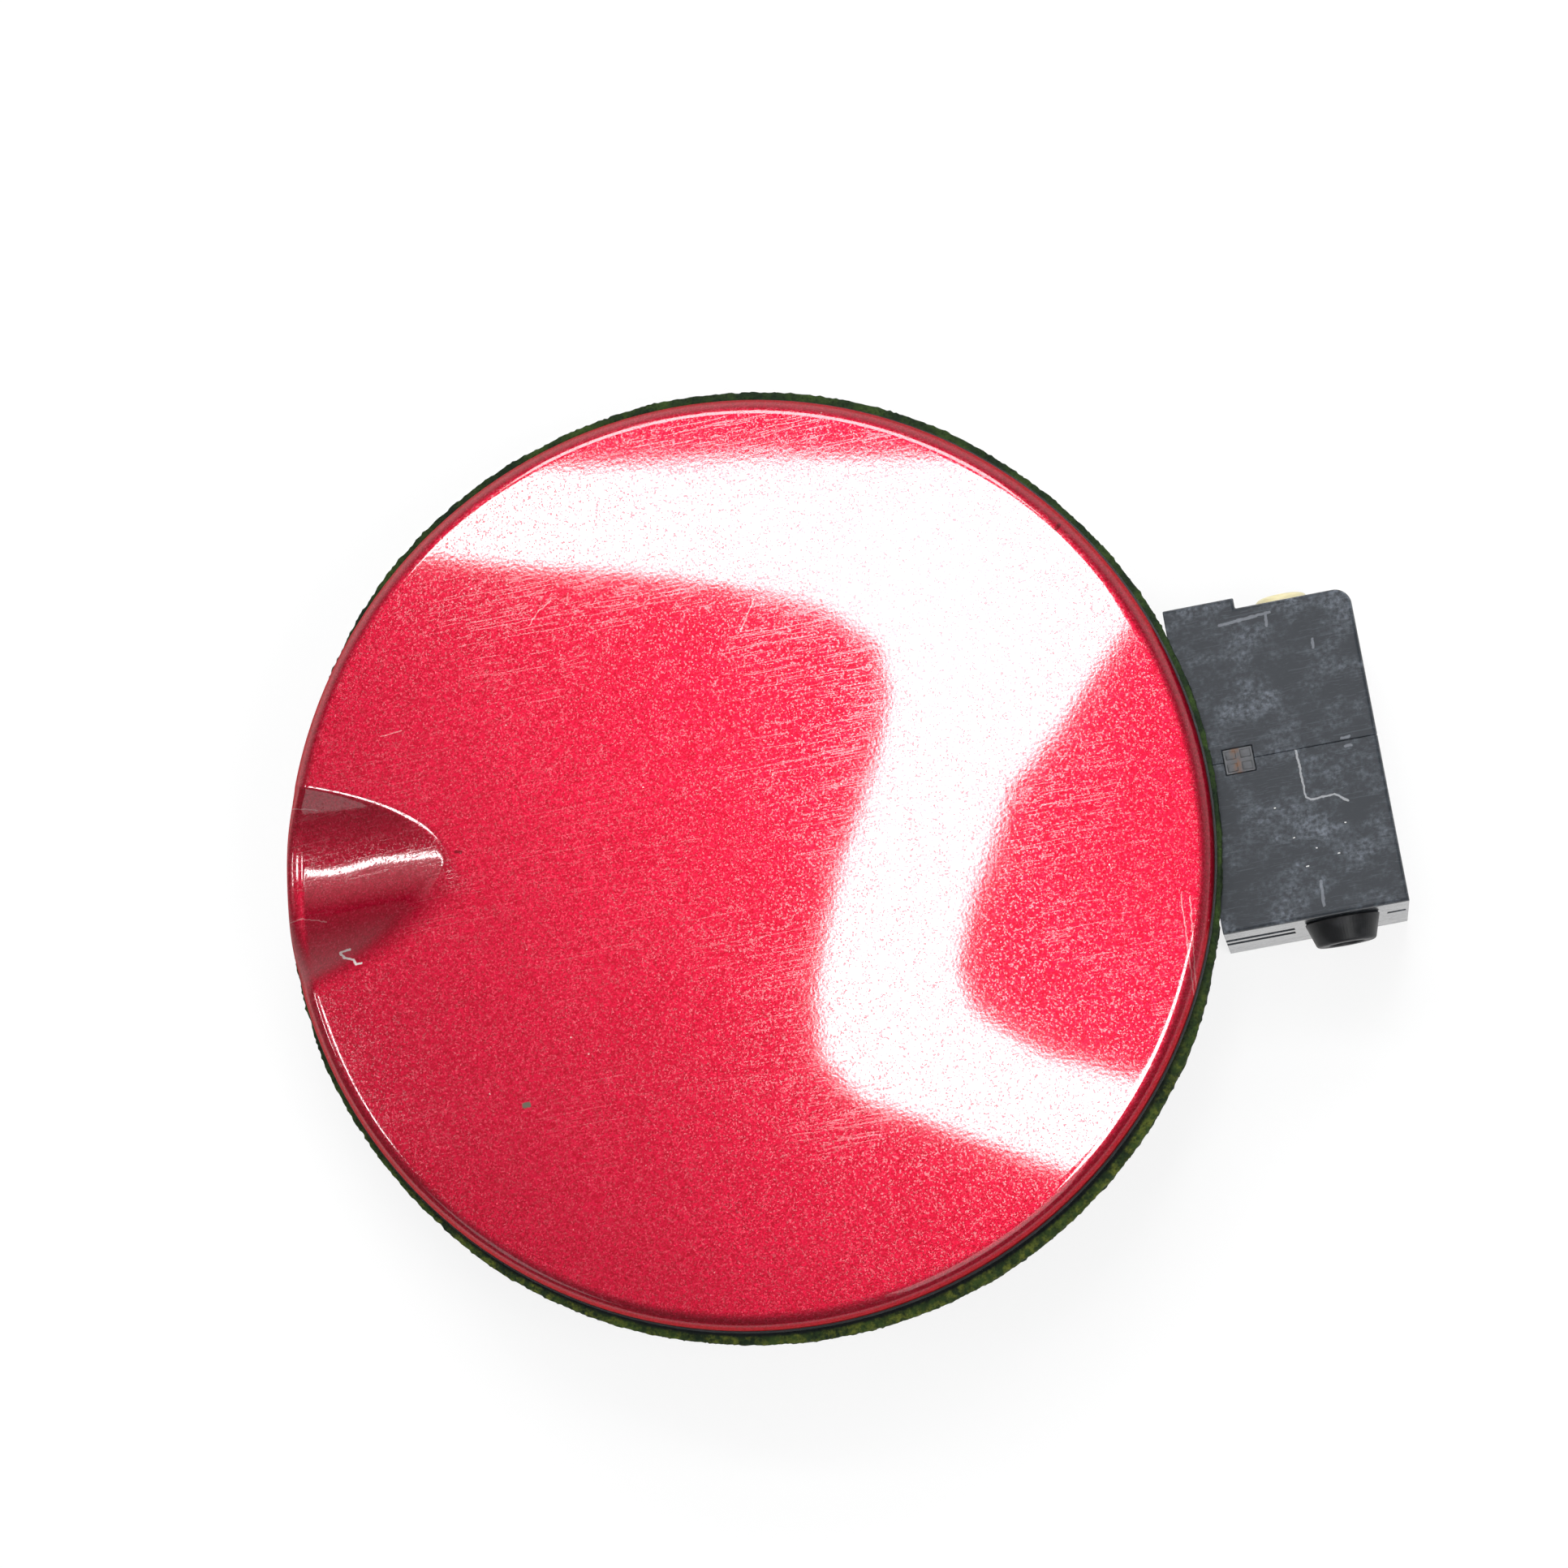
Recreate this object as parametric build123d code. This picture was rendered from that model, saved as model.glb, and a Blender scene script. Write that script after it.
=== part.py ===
from build123d import *
import os
from math import atan, cos, degrees, radians, sin, sqrt

# A round car fuel door on a gooseneck arm, with the hinge housing that it swings in.
# Millimetres. The origin is midway between the housing's two screw holes, on its
# mounting face. +Z points out of the painted face, +X from the door to the hinge,
# and the hinge pin lies along Y straight above the origin.

# Door
DOOR_DIAMETER = 165.0
DOOR_CROWN = 4.5
DOOR_SHIFT = -0.5
NECK_INSET = 6.1
HOUSING_GAP = 0.5
SKIN_THICKNESS = 0.9
EDGE_RADIUS = 2.6
LIP_DEPTH = 4.5

# Finger scoop at the free side of the door
SCOOP_WIDTH = 37.0
SCOOP_LENGTH = 27.0
SCOOP_DEPTH = 5.6
SCOOP_Y = 10.3
SCOOP_YAW = -3.5
SCOOP_REACH = 45.0
SCOOP_LIP = 0.9
CREASE_RADIUS = 0.8
SCOOP_RELIEF = 0.8

# Carrier panel behind the skin, and the foam ring glued to it
FLANGE_PROUD = 0.4
CARRIER_THICKNESS = 2.0
LOCATING_RIB_WIDTH = 1.6
LOCATING_RIB_HEIGHT = 2.2
STIFFENER_INSET = 9.5
STIFFENER_WIDTH = 1.8
STIFFENER_HEIGHT = 2.6
SPOKE_INNER_RADIUS = 16.0
SPOKE_ANGLES = (50, 95, 150, 225, 265, 310)
SCREW_BOSS_RADIUS = 3.6
SCREW_BOSS_HEIGHT = 3.6
FOAM_WIDTH = 4.5
FOAM_THICKNESS = 3.2
FOAM_PROUD = 1.5

# Hinge pin and the bushes on it
PIN_RADIUS = 2.5
BUSH_RADIUS = 4.0
BUSH_FLANGE_RADIUS = 5.6
BUSH_FLANGE = 1.0
ARM_BUSH_LENGTH = 9.0
CAP_HEAD_RADIUS = 4.75
CAP_HEAD_HEIGHT = 2.0
CAP_HEAD_BEVEL = 1.2
KNOB_ROOT_RADIUS = 6.65
KNOB_TIP_RADIUS = 5.45
KNOB_LENGTH = 4.6
KNOB_EDGE = 0.7
KNOB_DIMPLE_RADIUS = 3.4
KNOB_DIMPLE_DEPTH = 0.8
KNOB_END_WALL = 1.6

# Gooseneck arm
OPEN_ANGLE = 95.0
ARM_WIDTH = 34.0
BARREL_RADIUS = 7.0
NECK_THICKNESS = 4.3
NECK_FLOOR_GAP = 1.5
NECK_FRONT_GAP = 3.6
LEG_THICKNESS = 4.8
PAD_LENGTH = 46.0
PAD_THICKNESS = 3.5
POCKET_DEPTH = 2.0
POCKET_RIB = 3.0
POCKET_MARGIN = 5.0
GUSSET_REACH = 12.0
GUSSET_WIDTH = 3.0
CAM_RADIUS = 7.9
CAM_FLAT = 5.8
CAM_WIDTH = 15.0

# Screws
SCREW_RADIUS = 1.9
SCREW_HEAD_RADIUS = 3.8
SCREW_HEAD_HEIGHT = 2.4
SCREW_HEAD_BEVEL = 1.0
ARM_SCREW_SPACING = 18.0
ARM_SCREW_SETBACK = 8.0
LATCH_SCREW_SPACING = 22.4

# Latch tongue
LATCH_INSET = 28.5
LATCH_Y = -22.0
LATCH_FOOT_X = 12.0
LATCH_FOOT_Y = 31.0
LATCH_FOOT_THICKNESS = 3.0
TONGUE_THICKNESS = 5.0
TONGUE_WIDTH = 14.0
TONGUE_DROP = 20.0
EYE_RADIUS = 4.2

# Rubber buffers
BUMP_INSET = 20.4
BUMP_ANGLE = 123.2
BUMP_FOOT_RADIUS = 6.0
BUMP_TIP_RADIUS = 4.0
BUMP_HEIGHT = 7.0
BUMP_STEM_RADIUS = 2.9
BUMP_BEAD = 1.0

# Hinge housing
HOUSING_LENGTH = 56.6
HOUSING_HEIGHT = 43.0
HOUSING_BACK = 12.0
HOUSING_WALL = 2.2
HOUSING_CORNER = 3.0
HOUSING_EDGE = 0.9
WING_LENGTH = 12.7
WING_STEP = 1.9
SEAM_Y = 1.5
FINGER_SLOT_LENGTH = 12.4
FINGER_SLOT_HEIGHT = 3.8
FINGER_WIDTH = 3.6
FINGER_HEIGHT = 24.3
VENT_X = 8.2
VENT_LENGTH = 3.2
VENT_HEIGHT = 3.0
MOUNT_SPACING = 43.8
MOUNT_HOLE_RADIUS = 2.1
MOUNT_HOLE_DEPTH = 12.0
MOUNT_BOSS_RADIUS = 4.0

# Clip across the housing's seam
CLIP_SETBACK = 8.4
CLIP_LENGTH = 5.2
CLIP_WIDTH = 4.4
CLIP_THICKNESS = 0.8
CLIP_LEG_DEPTH = 4.4

# Leaf spring
LEAF_THICKNESS = 0.6
LEAF_WIDTH = 13.0
LEAF_FOOT = 6.2
LEAF_BEND = 13.0
LEAF_KNEE_DROP = 6.6
LEAF_HOOK = 1.2
LEAF_HOOK_HEIGHT = 5.0

# Clearances
RUNNING = 0.05
SEAT = 0.02
FITTED = 0.15
LOOSE = 0.3

# Levels, radii and places worked out from the sizes above
door_radius = DOOR_DIAMETER / 2
dome_radius = (door_radius**2 + DOOR_CROWN**2) / (2 * DOOR_CROWN)
foam_bottom = HOUSING_HEIGHT + HOUSING_GAP
carrier_bottom = foam_bottom + FOAM_THICKNESS
carrier_top = carrier_bottom + CARRIER_THICKNESS
rim_height = carrier_top + LIP_DEPTH
dome_centre = rim_height + DOOR_CROWN - dome_radius
flange_radius = door_radius + FLANGE_PROUD
foam_radius = door_radius + FOAM_PROUD
stiffener_radius = door_radius - STIFFENER_INSET
scoop_half = SCOOP_WIDTH / 2
scoop_radius = (scoop_half**2 + SCOOP_DEPTH**2) / (2 * SCOOP_DEPTH)
scoop_mouth_x = -sqrt(door_radius**2 - SCOOP_Y**2) + SCOOP_LIP + EDGE_RADIUS
scoop_distance = sqrt(scoop_mouth_x**2 + SCOOP_Y**2)
scoop_bottom = dome_centre + sqrt(dome_radius**2 - scoop_distance**2) - SCOOP_DEPTH
scoop_tip = dome_centre + sqrt(dome_radius**2 - (scoop_distance - SCOOP_LENGTH) ** 2)
scoop_slope = (scoop_tip - scoop_bottom) / SCOOP_LENGTH
scoop_run_out = EDGE_RADIUS + 2 * SCOOP_LIP
scoop_lip_bottom = scoop_bottom - scoop_slope * scoop_run_out
housing_half = HOUSING_LENGTH / 2
inner_half = housing_half - HOUSING_WALL
roof = HOUSING_HEIGHT - HOUSING_WALL
back_wall = HOUSING_BACK - HOUSING_WALL
pin_height = roof - CAM_RADIUS - LOOSE
barrel_half = inner_half - 2 * BUSH_FLANGE - LOOSE
neck_outer = pin_height - HOUSING_WALL - NECK_FLOOR_GAP
neck_radius = neck_outer - NECK_THICKNESS
housing_front = neck_radius - NECK_FRONT_GAP
leg_angle = 180 + OPEN_ANGLE
pad_bottom = carrier_bottom - PAD_THICKNESS
pad_end = -neck_radius - PAD_LENGTH
door_x = NECK_INSET - neck_radius - door_radius
latch_x = door_x - door_radius + LATCH_INSET
latch_y = LATCH_Y + DOOR_SHIFT
clip_x = -housing_front + CLIP_SETBACK

DOOR = Pos(door_x, DOOR_SHIFT, 0)
PIVOT = Pos(0, 0, pin_height)


def block(x_span, y_span, z_span):
    """Box between two values on each axis."""
    size = [high - low for low, high in (x_span, y_span, z_span)]
    middle = [(high + low) / 2 for low, high in (x_span, y_span, z_span)]
    return Pos(*middle) * Box(*size)


def post(x, y, radius, z_span, top_radius=None):
    """Upright round post, tapered when it has its own top radius."""
    low, high = z_span
    if top_radius is None:
        solid = Cylinder(radius, high - low)
    else:
        solid = Cone(radius, top_radius, high - low)
    return Pos(x, y, (low + high) / 2) * solid


def bar(radius, y_span, far_radius=None):
    """Round bar along the hinge pin's axis, tapered when it has its own far radius."""
    low, high = y_span
    if far_radius is None:
        solid = Cylinder(radius, high - low)
    else:
        solid = Cone(radius, far_radius, high - low)
    return PIVOT * Pos(0, (low + high) / 2, 0) * Rot(-90, 0, 0) * solid


def ring(inner, outer, z_span):
    """Flat ring about the door's centre."""
    return post(0, 0, outer, z_span) - post(0, 0, inner, z_span)


def dome_body(inset, bottom):
    """Solid under the painted face, drawn in by inset and reaching down to bottom."""
    radius = door_radius - inset
    sphere = dome_radius - inset
    crown = (0, dome_centre + sphere)
    middle = (radius / 2, dome_centre + sqrt(sphere**2 - radius**2 / 4))
    shoulder = (radius, dome_centre + sqrt(sphere**2 - radius**2))
    face_arc = ThreePointArc(crown, middle, shoulder)
    sides = Polyline(shoulder, (radius, bottom), (0, bottom), crown)
    profile = make_face([face_arc, *sides.edges()])
    corner = profile.vertices().sort_by_distance(Vertex(*shoulder))[0]
    profile = fillet(corner, EDGE_RADIUS - inset)
    return revolve(Plane.XZ * profile, Axis.Z)


def scoop_body(grow):
    """Round bar, sunk at the door's edge and rising to the tip, that hollows out the scoop."""
    low_line = Pos(scoop_mouth_x, SCOOP_Y, scoop_bottom) * Rot(0, 0, SCOOP_YAW)
    low_line *= Rot(0, -degrees(atan(scoop_slope)), 0)
    bar_axis = low_line * Pos(0, 0, scoop_radius) * Rot(0, -90, 0)
    return bar_axis * Cylinder(scoop_radius + grow, 2 * SCOOP_REACH)


def scoop_relief(z_span):
    """Upright cut that clears the scoop's back, as wide and as long as the back is at the top of the span."""
    low, high = z_span
    clear = SKIN_THICKNESS + SCOOP_RELIEF
    half_width = sqrt((scoop_radius + clear) ** 2 - (scoop_lip_bottom + scoop_radius - high) ** 2)
    outline = Ellipse((high - scoop_lip_bottom + clear) / scoop_slope, half_width)
    outline += Pos(-SCOOP_REACH / 2, 0) * Rectangle(SCOOP_REACH, 2 * half_width)
    lip = Pos(scoop_mouth_x, SCOOP_Y, low) * Rot(0, 0, SCOOP_YAW) * Pos(-scoop_run_out, 0, 0)
    return lip * extrude(outline, high - low)


def make_outer_skin():
    """Pressed steel skin: dome, rolled rim, and the scoop as a dent of the same thickness."""
    below = foam_bottom
    scoop = scoop_body(0)
    scoop_back = scoop_body(SKIN_THICKNESS)
    outside = dome_body(0, below) - scoop
    crease = outside.edges().filter_by(GeomType.BSPLINE)
    crease = crease.filter_by(lambda edge: edge.bounding_box().max.Z > rim_height - SKIN_THICKNESS)
    outside = fillet(crease, CREASE_RADIUS)
    inside = dome_body(SKIN_THICKNESS, below) - scoop_back
    skirt = post(0, 0, door_radius + FLANGE_PROUD, (below, carrier_top)) - scoop_back
    mouth = (scoop_back - scoop) & ring(
        door_radius - SKIN_THICKNESS, door_radius + SCOOP_LIP, (below, carrier_top)
    )
    return outside - inside - skirt + mouth


def arm_screw_places():
    """Three screws in the arm's pad: two near the neck and one near the pad's end."""
    near = -neck_outer - GUSSET_REACH / 2
    far = pad_end + ARM_SCREW_SETBACK
    return [
        (near, ARM_SCREW_SPACING / 2),
        (near, -ARM_SCREW_SPACING / 2),
        (far, 0),
    ]


def latch_screw_places():
    """Two screws in the latch tongue's foot, one at each end."""
    half = LATCH_SCREW_SPACING / 2
    return [(latch_x, latch_y + half), (latch_x, latch_y - half)]


def bump_places():
    """Two rubber buffers, one each side of the scoop."""
    reach = door_radius - BUMP_INSET
    x = door_x + reach * cos(radians(BUMP_ANGLE))
    y = reach * sin(radians(BUMP_ANGLE))
    return [(x, DOOR_SHIFT + y), (x, DOOR_SHIFT - y)]


def make_carrier_panel():
    """Moulded panel with a flange for the foam, a rib that locates the skin, and spokes below."""
    plate = post(0, 0, flange_radius, (carrier_bottom, carrier_top))
    rib_outer = door_radius - SKIN_THICKNESS - FITTED
    rib_top = carrier_top + LOCATING_RIB_HEIGHT
    panel = plate + ring(rib_outer - LOCATING_RIB_WIDTH, rib_outer, (carrier_top, rib_top))
    rib_levels = (carrier_bottom - STIFFENER_HEIGHT, carrier_bottom)
    half = STIFFENER_WIDTH / 2
    panel += ring(stiffener_radius - half, stiffener_radius + half, rib_levels)
    for angle in SPOKE_ANGLES:
        panel += Rot(0, 0, angle) * block(
            (SPOKE_INNER_RADIUS, stiffener_radius), (-half, half), rib_levels
        )
    panel -= scoop_relief((carrier_top, rib_top))
    panel -= scoop_relief((carrier_bottom - STIFFENER_HEIGHT, carrier_top))
    panel = DOOR * panel
    pad_room = block(
        (pad_end - LOOSE, -neck_radius + LOOSE),
        (-ARM_WIDTH / 2 - LOOSE, ARM_WIDTH / 2 + LOOSE),
        rib_levels,
    )
    panel -= pad_room
    screw_places = arm_screw_places() + latch_screw_places()
    for x, y in screw_places:
        panel += post(x, y, SCREW_BOSS_RADIUS, (carrier_top, carrier_top + SCREW_BOSS_HEIGHT))
    for x, y in screw_places:
        hole = (carrier_bottom, carrier_top + SCREW_BOSS_HEIGHT)
        panel -= post(x, y, SCREW_RADIUS + SEAT, hole)
    for x, y in bump_places():
        panel -= post(x, y, BUMP_STEM_RADIUS + SEAT, (carrier_bottom, carrier_top))
    return panel


def make_foam_seal():
    """Foam ring under the carrier's flange, thinned where the scoop presses into it."""
    foam = ring(foam_radius - FOAM_WIDTH, foam_radius, (foam_bottom, carrier_bottom))
    foam -= scoop_relief((scoop_lip_bottom - SKIN_THICKNESS - SCOOP_RELIEF, carrier_bottom))
    return DOOR * foam


def neck_sector(inner, outer, width, start, sweep):
    """Part of a round tube wall about the pin, between two angles from +X towards +Z."""
    about_pin = (Align.NONE, Align.NONE, Align.CENTER)
    wall = Cylinder(outer, width, arc_size=sweep, align=about_pin) - Cylinder(inner, width)
    return PIVOT * Rot(90, 0, 0) * Rot(0, 0, start) * wall


def make_hinge_arm():
    """Gooseneck arm: barrel with two cam flats, leg, round neck with pockets, and screw pad."""
    half = ARM_WIDTH / 2
    arm = bar(BARREL_RADIUS, (-barrel_half, barrel_half))
    cam = bar(CAM_RADIUS, (-CAM_WIDTH / 2, CAM_WIDTH / 2))
    flat = block((CAM_FLAT, CAM_RADIUS * 2), (-CAM_WIDTH, CAM_WIDTH), (-CAM_RADIUS, CAM_RADIUS))
    for angle in (0, OPEN_ANGLE):
        trim = PIVOT * Rot(0, -angle, 0) * flat
        cam -= trim
        arm -= trim & bar(CAM_RADIUS, (-CAM_WIDTH / 2, CAM_WIDTH / 2))
    leg_reach = neck_radius + NECK_THICKNESS / 2
    leg = block((0, leg_reach), (-half, half), (-LEG_THICKNESS / 2, LEG_THICKNESS / 2))
    arm += cam + PIVOT * Rot(0, -leg_angle, 0) * leg
    arm += neck_sector(neck_radius, neck_outer, ARM_WIDTH, 180, OPEN_ANGLE)
    arm += block((-neck_outer, -neck_radius), (-half, half), (pin_height, carrier_bottom))
    pad_outline = Pos((pad_end - neck_radius) / 2, 0) * RectangleRounded(
        PAD_LENGTH, ARM_WIDTH, POCKET_RIB
    )
    arm += Pos(0, 0, pad_bottom) * extrude(pad_outline, PAD_THICKNESS)
    pocket_width = (ARM_WIDTH - 3 * POCKET_RIB) / 2
    pocket = neck_sector(
        neck_outer - POCKET_DEPTH,
        neck_outer * 2,
        pocket_width,
        180 + POCKET_MARGIN,
        OPEN_ANGLE - 2 * POCKET_MARGIN,
    )
    gusset_profile = Plane.XZ * make_face(
        Polyline(
            (-neck_outer, pin_height),
            (-neck_outer, pad_bottom),
            (-neck_outer - GUSSET_REACH, pad_bottom),
            (-neck_outer, pin_height),
        )
    )
    gusset = extrude(gusset_profile, GUSSET_WIDTH / 2, both=True)
    for side in (-1, 1):
        arm -= Pos(0, side * (pocket_width + POCKET_RIB) / 2, 0) * pocket
        arm += Pos(0, side * (half - GUSSET_WIDTH / 2), 0) * gusset
    arm += gusset
    arm -= bar(BUSH_RADIUS + SEAT, (-barrel_half, barrel_half))
    for x, y in arm_screw_places():
        arm -= post(x, y, SCREW_RADIUS + LOOSE, (pad_bottom, carrier_bottom))
    return arm


def make_arm_bush(side):
    """Flanged bush pressed into one end of the arm's barrel, running on the pin."""
    end = side * barrel_half
    sleeve = bar(BUSH_RADIUS, sorted((end - side * ARM_BUSH_LENGTH, end)))
    flange = bar(BUSH_FLANGE_RADIUS, sorted((end, end + side * BUSH_FLANGE)))
    hole = bar(PIN_RADIUS + RUNNING, (-housing_half, housing_half))
    return sleeve + flange - hole


def make_screws(places, seat):
    """Round-headed screws driven upwards, their heads seated below the given level."""
    screws = []
    for x, y in places:
        shank = post(x, y, SCREW_RADIUS, (seat, carrier_top + SCREW_BOSS_HEIGHT))
        head = post(x, y, SCREW_HEAD_RADIUS, (seat - SCREW_HEAD_HEIGHT, seat))
        lower_rim = head.edges().group_by(Axis.Z)[0]
        screws.append(chamfer(lower_rim, SCREW_HEAD_BEVEL) + shank)
    return Compound(children=screws)


def make_latch_tongue():
    """Tongue with a rounded end and an eye for the lock's pin, on a foot under the carrier."""
    foot_bottom = carrier_bottom - LATCH_FOOT_THICKNESS
    outline = Pos(latch_x, latch_y) * RectangleRounded(LATCH_FOOT_X, LATCH_FOOT_Y, POCKET_RIB)
    foot = Pos(0, 0, foot_bottom) * extrude(outline, LATCH_FOOT_THICKNESS)
    end = TONGUE_WIDTH / 2
    eye_height = foot_bottom - TONGUE_DROP + end
    tongue = block(
        (latch_x - TONGUE_THICKNESS / 2, latch_x + TONGUE_THICKNESS / 2),
        (latch_y - end, latch_y + end),
        (eye_height, foot_bottom),
    )
    axis = Pos(latch_x, latch_y, eye_height) * Rot(0, 90, 0)
    tongue += axis * Cylinder(end, TONGUE_THICKNESS)
    tongue -= axis * Cylinder(EYE_RADIUS, TONGUE_THICKNESS)
    latch = foot + tongue
    for hole_x, hole_y in latch_screw_places():
        latch -= post(hole_x, hole_y, SCREW_RADIUS + LOOSE, (foot_bottom, carrier_bottom))
    return latch


def make_bump_stop(x, y):
    """Rubber buffer with a tapered nose, held by a stem and a bead above the panel."""
    nose = post(x, y, BUMP_TIP_RADIUS, (carrier_bottom - BUMP_HEIGHT, carrier_bottom), BUMP_FOOT_RADIUS)
    stem_top = carrier_top + 2 * BUMP_BEAD
    stem = post(x, y, BUMP_STEM_RADIUS, (carrier_bottom, stem_top))
    bead = post(x, y, BUMP_STEM_RADIUS + BUMP_BEAD, (carrier_top, stem_top), BUMP_STEM_RADIUS)
    return nose + stem + bead


def make_housing():
    """Whole hinge housing before it is parted at the seam: a box open towards the door."""
    y_span = (-housing_half, housing_half)
    shell = block((-housing_front, HOUSING_BACK), y_span, (0, HOUSING_HEIGHT))
    uprights = shell.edges().filter_by(Axis.Z).group_by(Axis.X)[-1]
    shell = fillet(uprights.sort_by(Axis.Y)[-1], HOUSING_CORNER)
    shell += block(
        (-housing_front, -housing_front + WING_LENGTH),
        (housing_half, housing_half + WING_STEP),
        (0, HOUSING_HEIGHT),
    )
    rim = shell.edges().group_by(Axis.Z)[-1].sort_by(Axis.X)[1:]
    shell = fillet(rim, HOUSING_EDGE)
    shell -= block(
        (-housing_front, back_wall), (-inner_half, inner_half), (HOUSING_WALL, roof)
    )
    end_wall = (-housing_half, -inner_half)
    for step in (-1, 1):
        middle = FINGER_HEIGHT + step * (FINGER_WIDTH + FINGER_SLOT_HEIGHT) / 2
        z_span = (middle - FINGER_SLOT_HEIGHT / 2, middle + FINGER_SLOT_HEIGHT / 2)
        shell -= block((-housing_front, -housing_front + FINGER_SLOT_LENGTH), end_wall, z_span)
    shell -= block((VENT_X, VENT_X + VENT_LENGTH), end_wall, (FINGER_HEIGHT, FINGER_HEIGHT + VENT_HEIGHT))
    shell -= bar(BUSH_RADIUS + SEAT, y_span)
    shell += leaf_hook()
    for side in (-1, 1):
        y = side * MOUNT_SPACING / 2
        shell += post(0, y, MOUNT_BOSS_RADIUS, (0, MOUNT_HOLE_DEPTH + HOUSING_WALL))
        shell -= post(0, y, MOUNT_HOLE_RADIUS, (0, MOUNT_HOLE_DEPTH))
    return shell - clip_body(FITTED / 2)


def leaf_hook():
    """Hook on the back wall that holds the leaf spring's foot."""
    pocket = LEAF_THICKNESS + LOOSE
    front = back_wall - pocket - LEAF_HOOK
    half = LEAF_WIDTH / 2
    hook = block((front, back_wall), (-half, half), (LEAF_FOOT - LEAF_HOOK, LEAF_FOOT))
    lip_top = LEAF_FOOT + LEAF_HOOK_HEIGHT
    return hook + block((front, front + LEAF_HOOK), (-half, half), (LEAF_FOOT, lip_top))


def clip_body(grow):
    """Sheet-metal clip: a plate let into the housing's top and a leg each side of the seam."""
    x_span = (clip_x - CLIP_LENGTH / 2 - grow, clip_x + CLIP_LENGTH / 2 + grow)
    y_span = (SEAM_Y - CLIP_WIDTH / 2 - grow, SEAM_Y + CLIP_WIDTH / 2 + grow)
    plate_bottom = HOUSING_HEIGHT - CLIP_THICKNESS
    clip = block(x_span, y_span, (plate_bottom, HOUSING_HEIGHT))
    leg_bottom = HOUSING_HEIGHT - CLIP_LEG_DEPTH
    for y in (y_span[0], y_span[1] - CLIP_THICKNESS - 2 * grow):
        clip += block(x_span, (y, y + CLIP_THICKNESS + 2 * grow), (leg_bottom, plate_bottom))
    return clip


def housing_half_of(housing, y_span):
    """The piece of the housing on one side of the seam."""
    reach = 2 * (housing_front + HOUSING_BACK)
    return housing & block((-reach, reach), y_span, (0, HOUSING_HEIGHT))


def make_hinge_pin():
    """Steel pin from inside the cap bush to inside the knob."""
    low = -housing_half - KNOB_LENGTH + KNOB_END_WALL
    return bar(PIN_RADIUS, (low + LOOSE, housing_half - LOOSE))


def make_pin_cap_bush():
    """Nylon bush through the upper end wall, closed by a low bevelled head."""
    shank = bar(BUSH_RADIUS, (inner_half - BUSH_FLANGE, housing_half))
    head = bar(CAP_HEAD_RADIUS, (housing_half, housing_half + CAP_HEAD_HEIGHT))
    outer_rim = head.edges().group_by(Axis.Y)[-1]
    head = chamfer(outer_rim, CAP_HEAD_BEVEL)
    return shank + head - bar(PIN_RADIUS + SEAT, (0, housing_half))


def make_pin_lower_bush():
    """Flanged nylon bush in the lower end wall."""
    shank = bar(BUSH_RADIUS, (-housing_half, -inner_half))
    flange = bar(BUSH_FLANGE_RADIUS, (-inner_half, -inner_half + BUSH_FLANGE))
    return shank + flange - bar(PIN_RADIUS + SEAT, (-housing_half, 0))


def make_end_knob():
    """Tapered rubber knob over the pin's lower end, dimpled at its tip."""
    tip = -housing_half - KNOB_LENGTH
    knob = bar(KNOB_TIP_RADIUS, (tip, -housing_half), KNOB_ROOT_RADIUS)
    tip_rim = knob.edges().group_by(Axis.Y)[0]
    knob = chamfer(tip_rim, KNOB_EDGE)
    knob -= bar(KNOB_DIMPLE_RADIUS, (tip, tip + KNOB_DIMPLE_DEPTH))
    return knob - bar(PIN_RADIUS + SEAT, (tip + KNOB_END_WALL, 0))


def make_over_centre_spring():
    """Leaf spring: its foot in the hook, then up to lie along the barrel's flat."""
    foot_x = back_wall - (LEAF_THICKNESS + LOOSE) / 2
    flat_x = CAM_FLAT + RUNNING + LEAF_THICKNESS / 2
    line = FilletPolyline(
        (foot_x, LEAF_FOOT + RUNNING),
        (foot_x, LEAF_BEND),
        (flat_x, pin_height - LEAF_KNEE_DROP),
        (flat_x, roof - LOOSE),
        radius=4 * LEAF_THICKNESS,
    )
    strip = Plane.XZ * trace(line, LEAF_THICKNESS)
    return extrude(strip, LEAF_WIDTH / 2, both=True)


housing = make_housing()
bump_upper, bump_lower = bump_places()

PARTS = {
    "outer_skin": DOOR * make_outer_skin(),
    "carrier_panel": make_carrier_panel(),
    "foam_seal": make_foam_seal(),
    "hinge_arm": make_hinge_arm(),
    "arm_screws": make_screws(arm_screw_places(), pad_bottom),
    "arm_bush_upper": make_arm_bush(1),
    "arm_bush_lower": make_arm_bush(-1),
    "latch_tongue": make_latch_tongue(),
    "latch_screws": make_screws(latch_screw_places(), carrier_bottom - LATCH_FOOT_THICKNESS),
    "bump_stop_upper": make_bump_stop(*bump_upper),
    "bump_stop_lower": make_bump_stop(*bump_lower),
    "housing_upper_half": housing_half_of(housing, (SEAM_Y, HOUSING_LENGTH)),
    "housing_lower_half": housing_half_of(housing, (-HOUSING_LENGTH, SEAM_Y)),
    "seam_clip": clip_body(0),
    "hinge_pin": make_hinge_pin(),
    "pin_cap_bush": make_pin_cap_bush(),
    "pin_lower_bush": make_pin_lower_bush(),
    "end_knob": make_end_knob(),
    "over_centre_spring": make_over_centre_spring(),
}

os.makedirs("parts", exist_ok=True)
for name, solid in PARTS.items():
    export_step(solid, f"parts/{name}.step")
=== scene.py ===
import math

import bpy
from mathutils import Matrix, Vector, noise


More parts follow.
